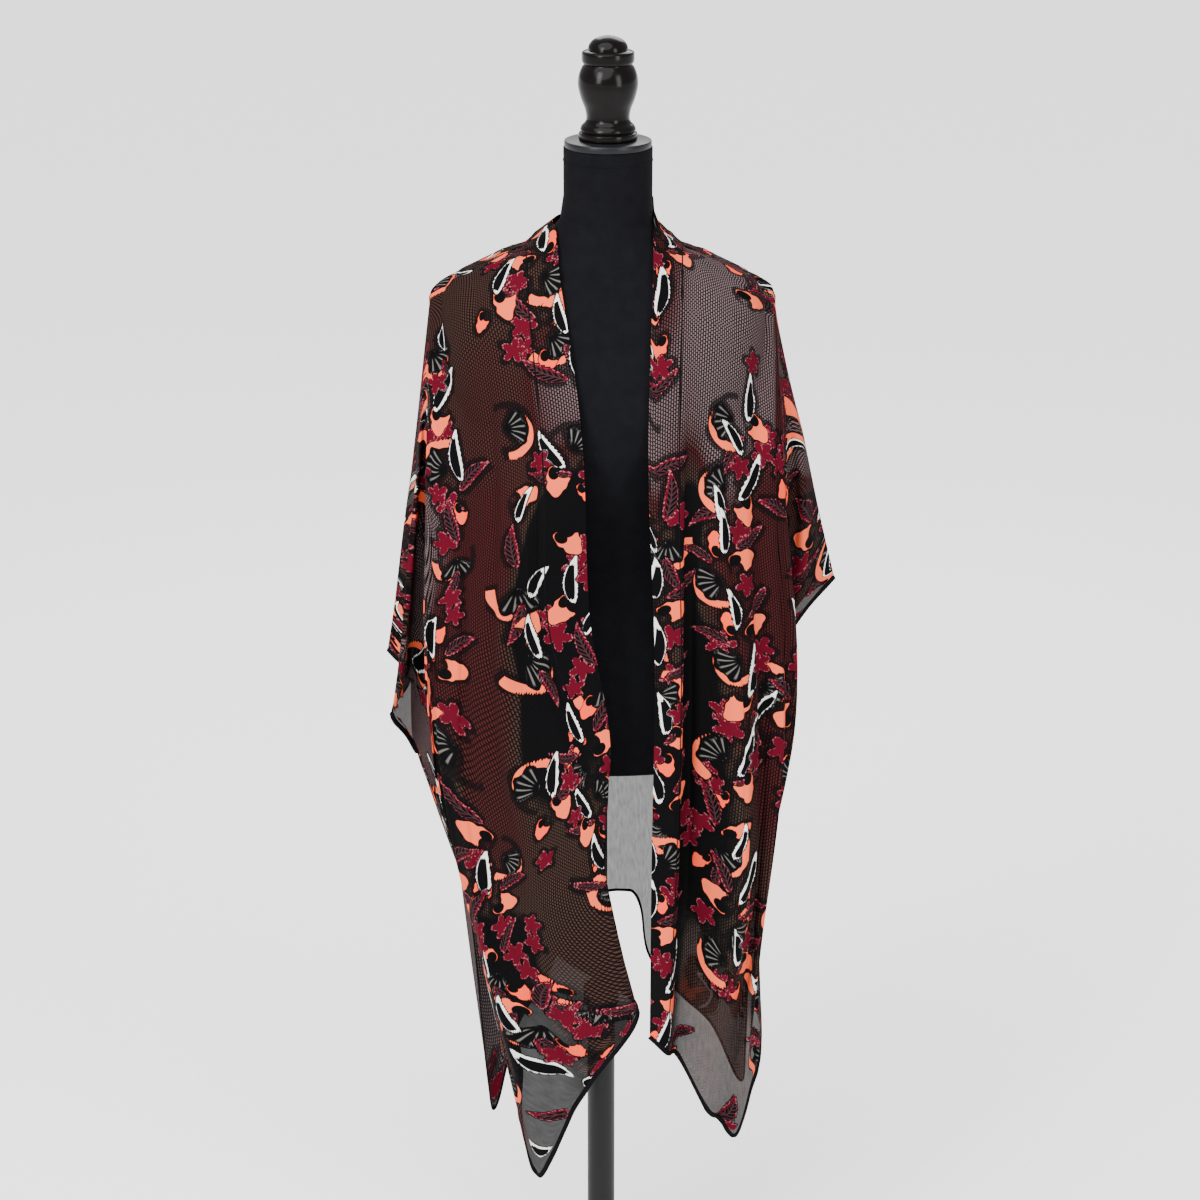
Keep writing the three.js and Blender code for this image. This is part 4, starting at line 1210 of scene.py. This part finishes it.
def turned(name, profile, x, z, sideways=False, y=0):
    """A turned piece from (radius, height) pairs in mm; sideways ones point to the back."""
    shape = bmesh.new()
    points = [(0, profile[0][1]), *profile, (0, profile[-1][1])]
    verts = [shape.verts.new((r * METRES, 0, h * METRES)) for r, h in points]
    edges = [shape.edges.new(pair) for pair in zip(verts, verts[1:])]
    bmesh.ops.spin(
        shape, geom=[*verts, *edges], cent=(0, 0, 0), axis=(0, 0, 1), angle=math.tau,
        steps=TURN_STEPS, use_merge=True, use_duplicate=False,
    )  # fmt: skip
    bmesh.ops.remove_doubles(shape, verts=shape.verts, dist=MERGE_DISTANCE)
    if sideways:
        for vert in shape.verts:
            vert.co = (vert.co.x, vert.co.z, -vert.co.y)
    bmesh.ops.translate(shape, verts=shape.verts, vec=(x * METRES, y * METRES, z * METRES))
    bmesh.ops.recalc_face_normals(shape, faces=shape.faces)
    made = finished(name, shape, bpy.data.meshes.new(name))
    made.data.set_sharp_from_angle(angle=math.radians(SHARP_ANGLE))
    return made


def smoothed(profile):
    """A smooth profile through a few turned points."""
    spans = len(profile) - 1
    places = np.linspace(0, spans, spans * CURVE_STEPS + 1)
    return [tuple(point) for point in through(np.array(profile, dtype=float), places)]


# %% The finial and the cap
CAP_RADIUS = 51.5
CAP_HEIGHT = 8.4
GAP = 0.3
FOOT = [(33, 0), (34.2, 0.8), (34.6, 2.4), (34.5, 6.6), (34, 8), (32.2, 8.8)]
BULB = [
    (31.7, 9.4), (32.6, 11.2), (32.5, 13), (30.8, 16.4), (27, 20.4), (25.4, 26), (27.2, 36),
    (31.8, 48), (35.1, 62), (34.6, 73), (31.4, 82.4), (28.4, 86.8),
]  # fmt: skip
RING = [(28.3, 87.6), (29.8, 89.2), (30.7, 92), (30.8, 98), (30, 101.4), (26.6, 103.2)]
DOME = [
    (23.6, 103.8), (23, 107.4), (21, 111.4), (17.2, 115.2), (10.8, 118.2), (4, 119.8), (0.01, 120),
]  # fmt: skip


def lacquer():
    """Turned wood under gloss black lacquer, with a faint grain along its height."""
    gloss = Finish("black_lacquer")
    place = gloss.node("ShaderNodeTexCoord", output="Object")
    stretched = gloss.node("ShaderNodeMapping", None, {"Vector": place, "Scale": (1, 1, 0.12)})
    values = {"Vector": stretched, "Scale": 180.0, "Detail": 5.0}
    grain = gloss.node("ShaderNodeTexNoise", None, values)
    colour = gloss.mixed(grain, (0.0015, 0.0014, 0.0014, 1), (0.0036, 0.0027, 0.0024, 1))
    rough = grain * 0.10 + 0.13
    gloss.shade(Base_Color=colour, Roughness=rough, Normal=gloss.bump(grain, 0.05, 0.0004))
    return gloss.shade(Specular_IOR_Level=0.1)


def satin(name, colour, roughness):
    """Painted metal with a little unevenness in its gloss."""
    paint = Finish(name)
    cloud = paint.noise(45)
    paint.shade(Base_Color=colour, Roughness=cloud * 0.12 + (roughness - 0.06))
    return paint.shade(Normal=paint.bump(paint.noise(1400), 0.12, 0.0002), Specular_IOR_Level=0.17)


LACQUER = lacquer()
CAP_PAINT = satin("satin_cap", (0.006, 0.006, 0.007, 1), 0.36)
STEEL_PAINT = satin("black_steel", (0.005, 0.005, 0.0055, 1), 0.42)
KNOB_PLASTIC = satin("black_plastic", (0.006, 0.006, 0.006, 1), 0.55)

profile = smoothed(FOOT) + smoothed(BULB) + smoothed(RING) + smoothed(DOME)
finial = turned("finial", profile, NECK_X, NECK_TOP + CAP_HEIGHT + 2 * GAP)
dressed(finial, LACQUER, "finial")
cap_profile = [
    (CAP_RADIUS - 1.4, 0), (CAP_RADIUS - 0.4, 0.4), (CAP_RADIUS, 1.4), (CAP_RADIUS, CAP_HEIGHT - 2),
    (CAP_RADIUS - 0.6, CAP_HEIGHT - 0.6), (CAP_RADIUS - 2, CAP_HEIGHT),
]  # fmt: skip
dressed(turned("neck_cap", cap_profile, NECK_X, NECK_TOP + GAP), CAP_PAINT, "neck_cap")

# %% [markdown]
# The stand is mostly out of the picture: a heavy round base, a tube, and a rod that slides in it and
# is held by a clamp and its knob. Plain cylinders with a bevel would do, but a spun profile gives
# the flared foot and every rounded edge in one go.

# %% The stand
BASE_RADIUS = 165
BASE_HEIGHT = 14
TUBE_RADIUS = 18
TUBE_TOP = 430
COLLAR_RADIUS = 23
COLLAR_HEIGHT = 34
ROD_RADIUS = 8
FLANGE_RADIUS = 38
FLANGE_HEIGHT = 6
KNOB_RADIUS = 9
KNOB_REACH = 24
KNOB_HEIGHT = 13

tube_length = TUBE_TOP - BASE_HEIGHT - GAP
rod_bottom = TUBE_TOP + COLLAR_HEIGHT + 2 * GAP
rod_length = FORM_BOTTOM - GAP - rod_bottom
flange_foot = rod_length - FLANGE_HEIGHT
base_edge = [
    (BASE_RADIUS - 2, 0), (BASE_RADIUS, 1.5), (BASE_RADIUS, 10.6), (BASE_RADIUS - 0.8, 12.8),
    (BASE_RADIUS - 3.2, BASE_HEIGHT),
]  # fmt: skip
tube_foot = [
    (TUBE_RADIUS + 14, 0), (TUBE_RADIUS + 14, 5), (TUBE_RADIUS + 9, 9), (TUBE_RADIUS + 3, 20),
    (TUBE_RADIUS, 27), (TUBE_RADIUS, tube_length),
]  # fmt: skip
collar_side = [
    (COLLAR_RADIUS - 2, 0), (COLLAR_RADIUS, 2), (COLLAR_RADIUS, 24), (COLLAR_RADIUS - 1.5, 26.4),
    (ROD_RADIUS + 6, 30), (ROD_RADIUS + 5, COLLAR_HEIGHT),
]  # fmt: skip
rod_side = [
    (ROD_RADIUS, 0), (ROD_RADIUS, rod_length - 12), (ROD_RADIUS + 5, flange_foot),
    (FLANGE_RADIUS, flange_foot), (FLANGE_RADIUS, rod_length),
]  # fmt: skip
knob_side = [
    (4, 0), (4, KNOB_REACH - 12), (7.8, KNOB_REACH - 11), (KNOB_RADIUS, KNOB_REACH - 9.6),
    (KNOB_RADIUS, KNOB_REACH - 1.4), (KNOB_RADIUS - 1.4, KNOB_REACH),
]  # fmt: skip

STAND = {
    "base_plate": (base_edge, 0),
    "lower_tube": (tube_foot, BASE_HEIGHT + GAP),
    "clamp_collar": (collar_side, TUBE_TOP + GAP),
    "upper_rod": (rod_side, rod_bottom),
}
for name, (profile, z) in STAND.items():
    dressed(turned(name, profile, 0, z), STEEL_PAINT, name)
knob_z = TUBE_TOP + GAP + KNOB_HEIGHT
knob = turned("clamp_knob", knob_side, 0, knob_z, sideways=True, y=COLLAR_RADIUS + GAP)
dressed(knob, KNOB_PLASTIC, "clamp_knob")

# %% [markdown]
# The cut of each sheet is a wide rectangle, and the area shown for each panel as its grid is made
# is the cloth that shows as surface: the rest lies in gathers too small to draw.

# %% [markdown]
# The picture: a long lens, a little above the form's neck and pitched down, as a shop's catalogue
# picture is taken. The floor is wide and pale, so that it also makes the background. A very soft
# sun and three big lamps leave only faint shadows, and the finial's gloss mirrors the tall lamps
# at the sides.

# %% The camera
# The places of the camera and the lamps are in metres, as the scene is.
CAMERA_PLACE = (-0.00136, -3.2, 2.1523)
CAMERA_DOWN = 19.943
LENS = 82.27
SENSOR = 36
FARTHEST = 200

camera_data = bpy.data.cameras.new("camera")
camera_data.lens = LENS
camera_data.sensor_width = SENSOR
camera_data.clip_end = FARTHEST
camera = placed("camera", camera_data)
camera.location = CAMERA_PLACE
camera.rotation_euler = (math.radians(90 - CAMERA_DOWN), 0, 0)
bpy.context.scene.camera = camera
print("camera looks down by", CAMERA_DOWN, "degrees")

# %% The floor and the light
FLOOR_SIZE = 120
# Columns: name, place, aim, width, height, power in watts
LIGHTS = [
    ("key", (-1.9, -2.6, 2.8), (0, 0, 1.1), 1.0, 2.2, 115),
    ("fill", (2.2, -2.4, 2.2), (0, 0, 1.0), 0.9, 2.2, 75),
    ("back", (0.4, 2.6, 3.2), (0, 0, 1.1), 2.4, 1.6, 60),
]
SUN_STRENGTH = 5.8
SUN_SOFTNESS = 70
SUN_TURN = (38, 0, -24)
SKY_STRENGTH = 0.75

floor_shape = bmesh.new()
bmesh.ops.create_grid(floor_shape, x_segments=1, y_segments=1, size=FLOOR_SIZE / 2)
bmesh.ops.translate(floor_shape, verts=floor_shape.verts, vec=(0, 0, -METRES))
floor_mesh = bpy.data.meshes.new("floor")
floor_shape.to_mesh(floor_mesh)
floor_shape.free()
floor = placed("floor", floor_mesh)
paper = Finish("floor_paper")
floor_mesh.materials.append(paper.shade(Base_Color=(0.93, 0.93, 0.93, 1), Roughness=0.9))

for name, place, aim, width, height, power in LIGHTS:
    lamp_data = bpy.data.lights.new(name, "AREA")
    lamp_data.shape = "RECTANGLE"
    lamp_data.size = width
    lamp_data.size_y = height
    lamp_data.energy = power
    lamp = placed(name, lamp_data)
    lamp.location = place
    way = np.array(aim) - np.array(place)
    flat = math.hypot(way[0], way[1])
    lamp.rotation_euler = (math.atan2(flat, -way[2]), 0, math.atan2(-way[0], way[1]))

sun_data = bpy.data.lights.new("sun", "SUN")
sun_data.energy = SUN_STRENGTH
sun_data.angle = math.radians(SUN_SOFTNESS)
sun = placed("sun", sun_data)
sun.rotation_euler = [math.radians(turn) for turn in SUN_TURN]

world = bpy.data.worlds.new("studio")
world.use_nodes = True
sky = world.node_tree.nodes["Background"].inputs
sky["Color"].default_value = (1, 1, 1, 1)
sky["Strength"].default_value = SKY_STRENGTH
bpy.context.scene.world = world
print("lights:", [row[0] for row in LIGHTS])
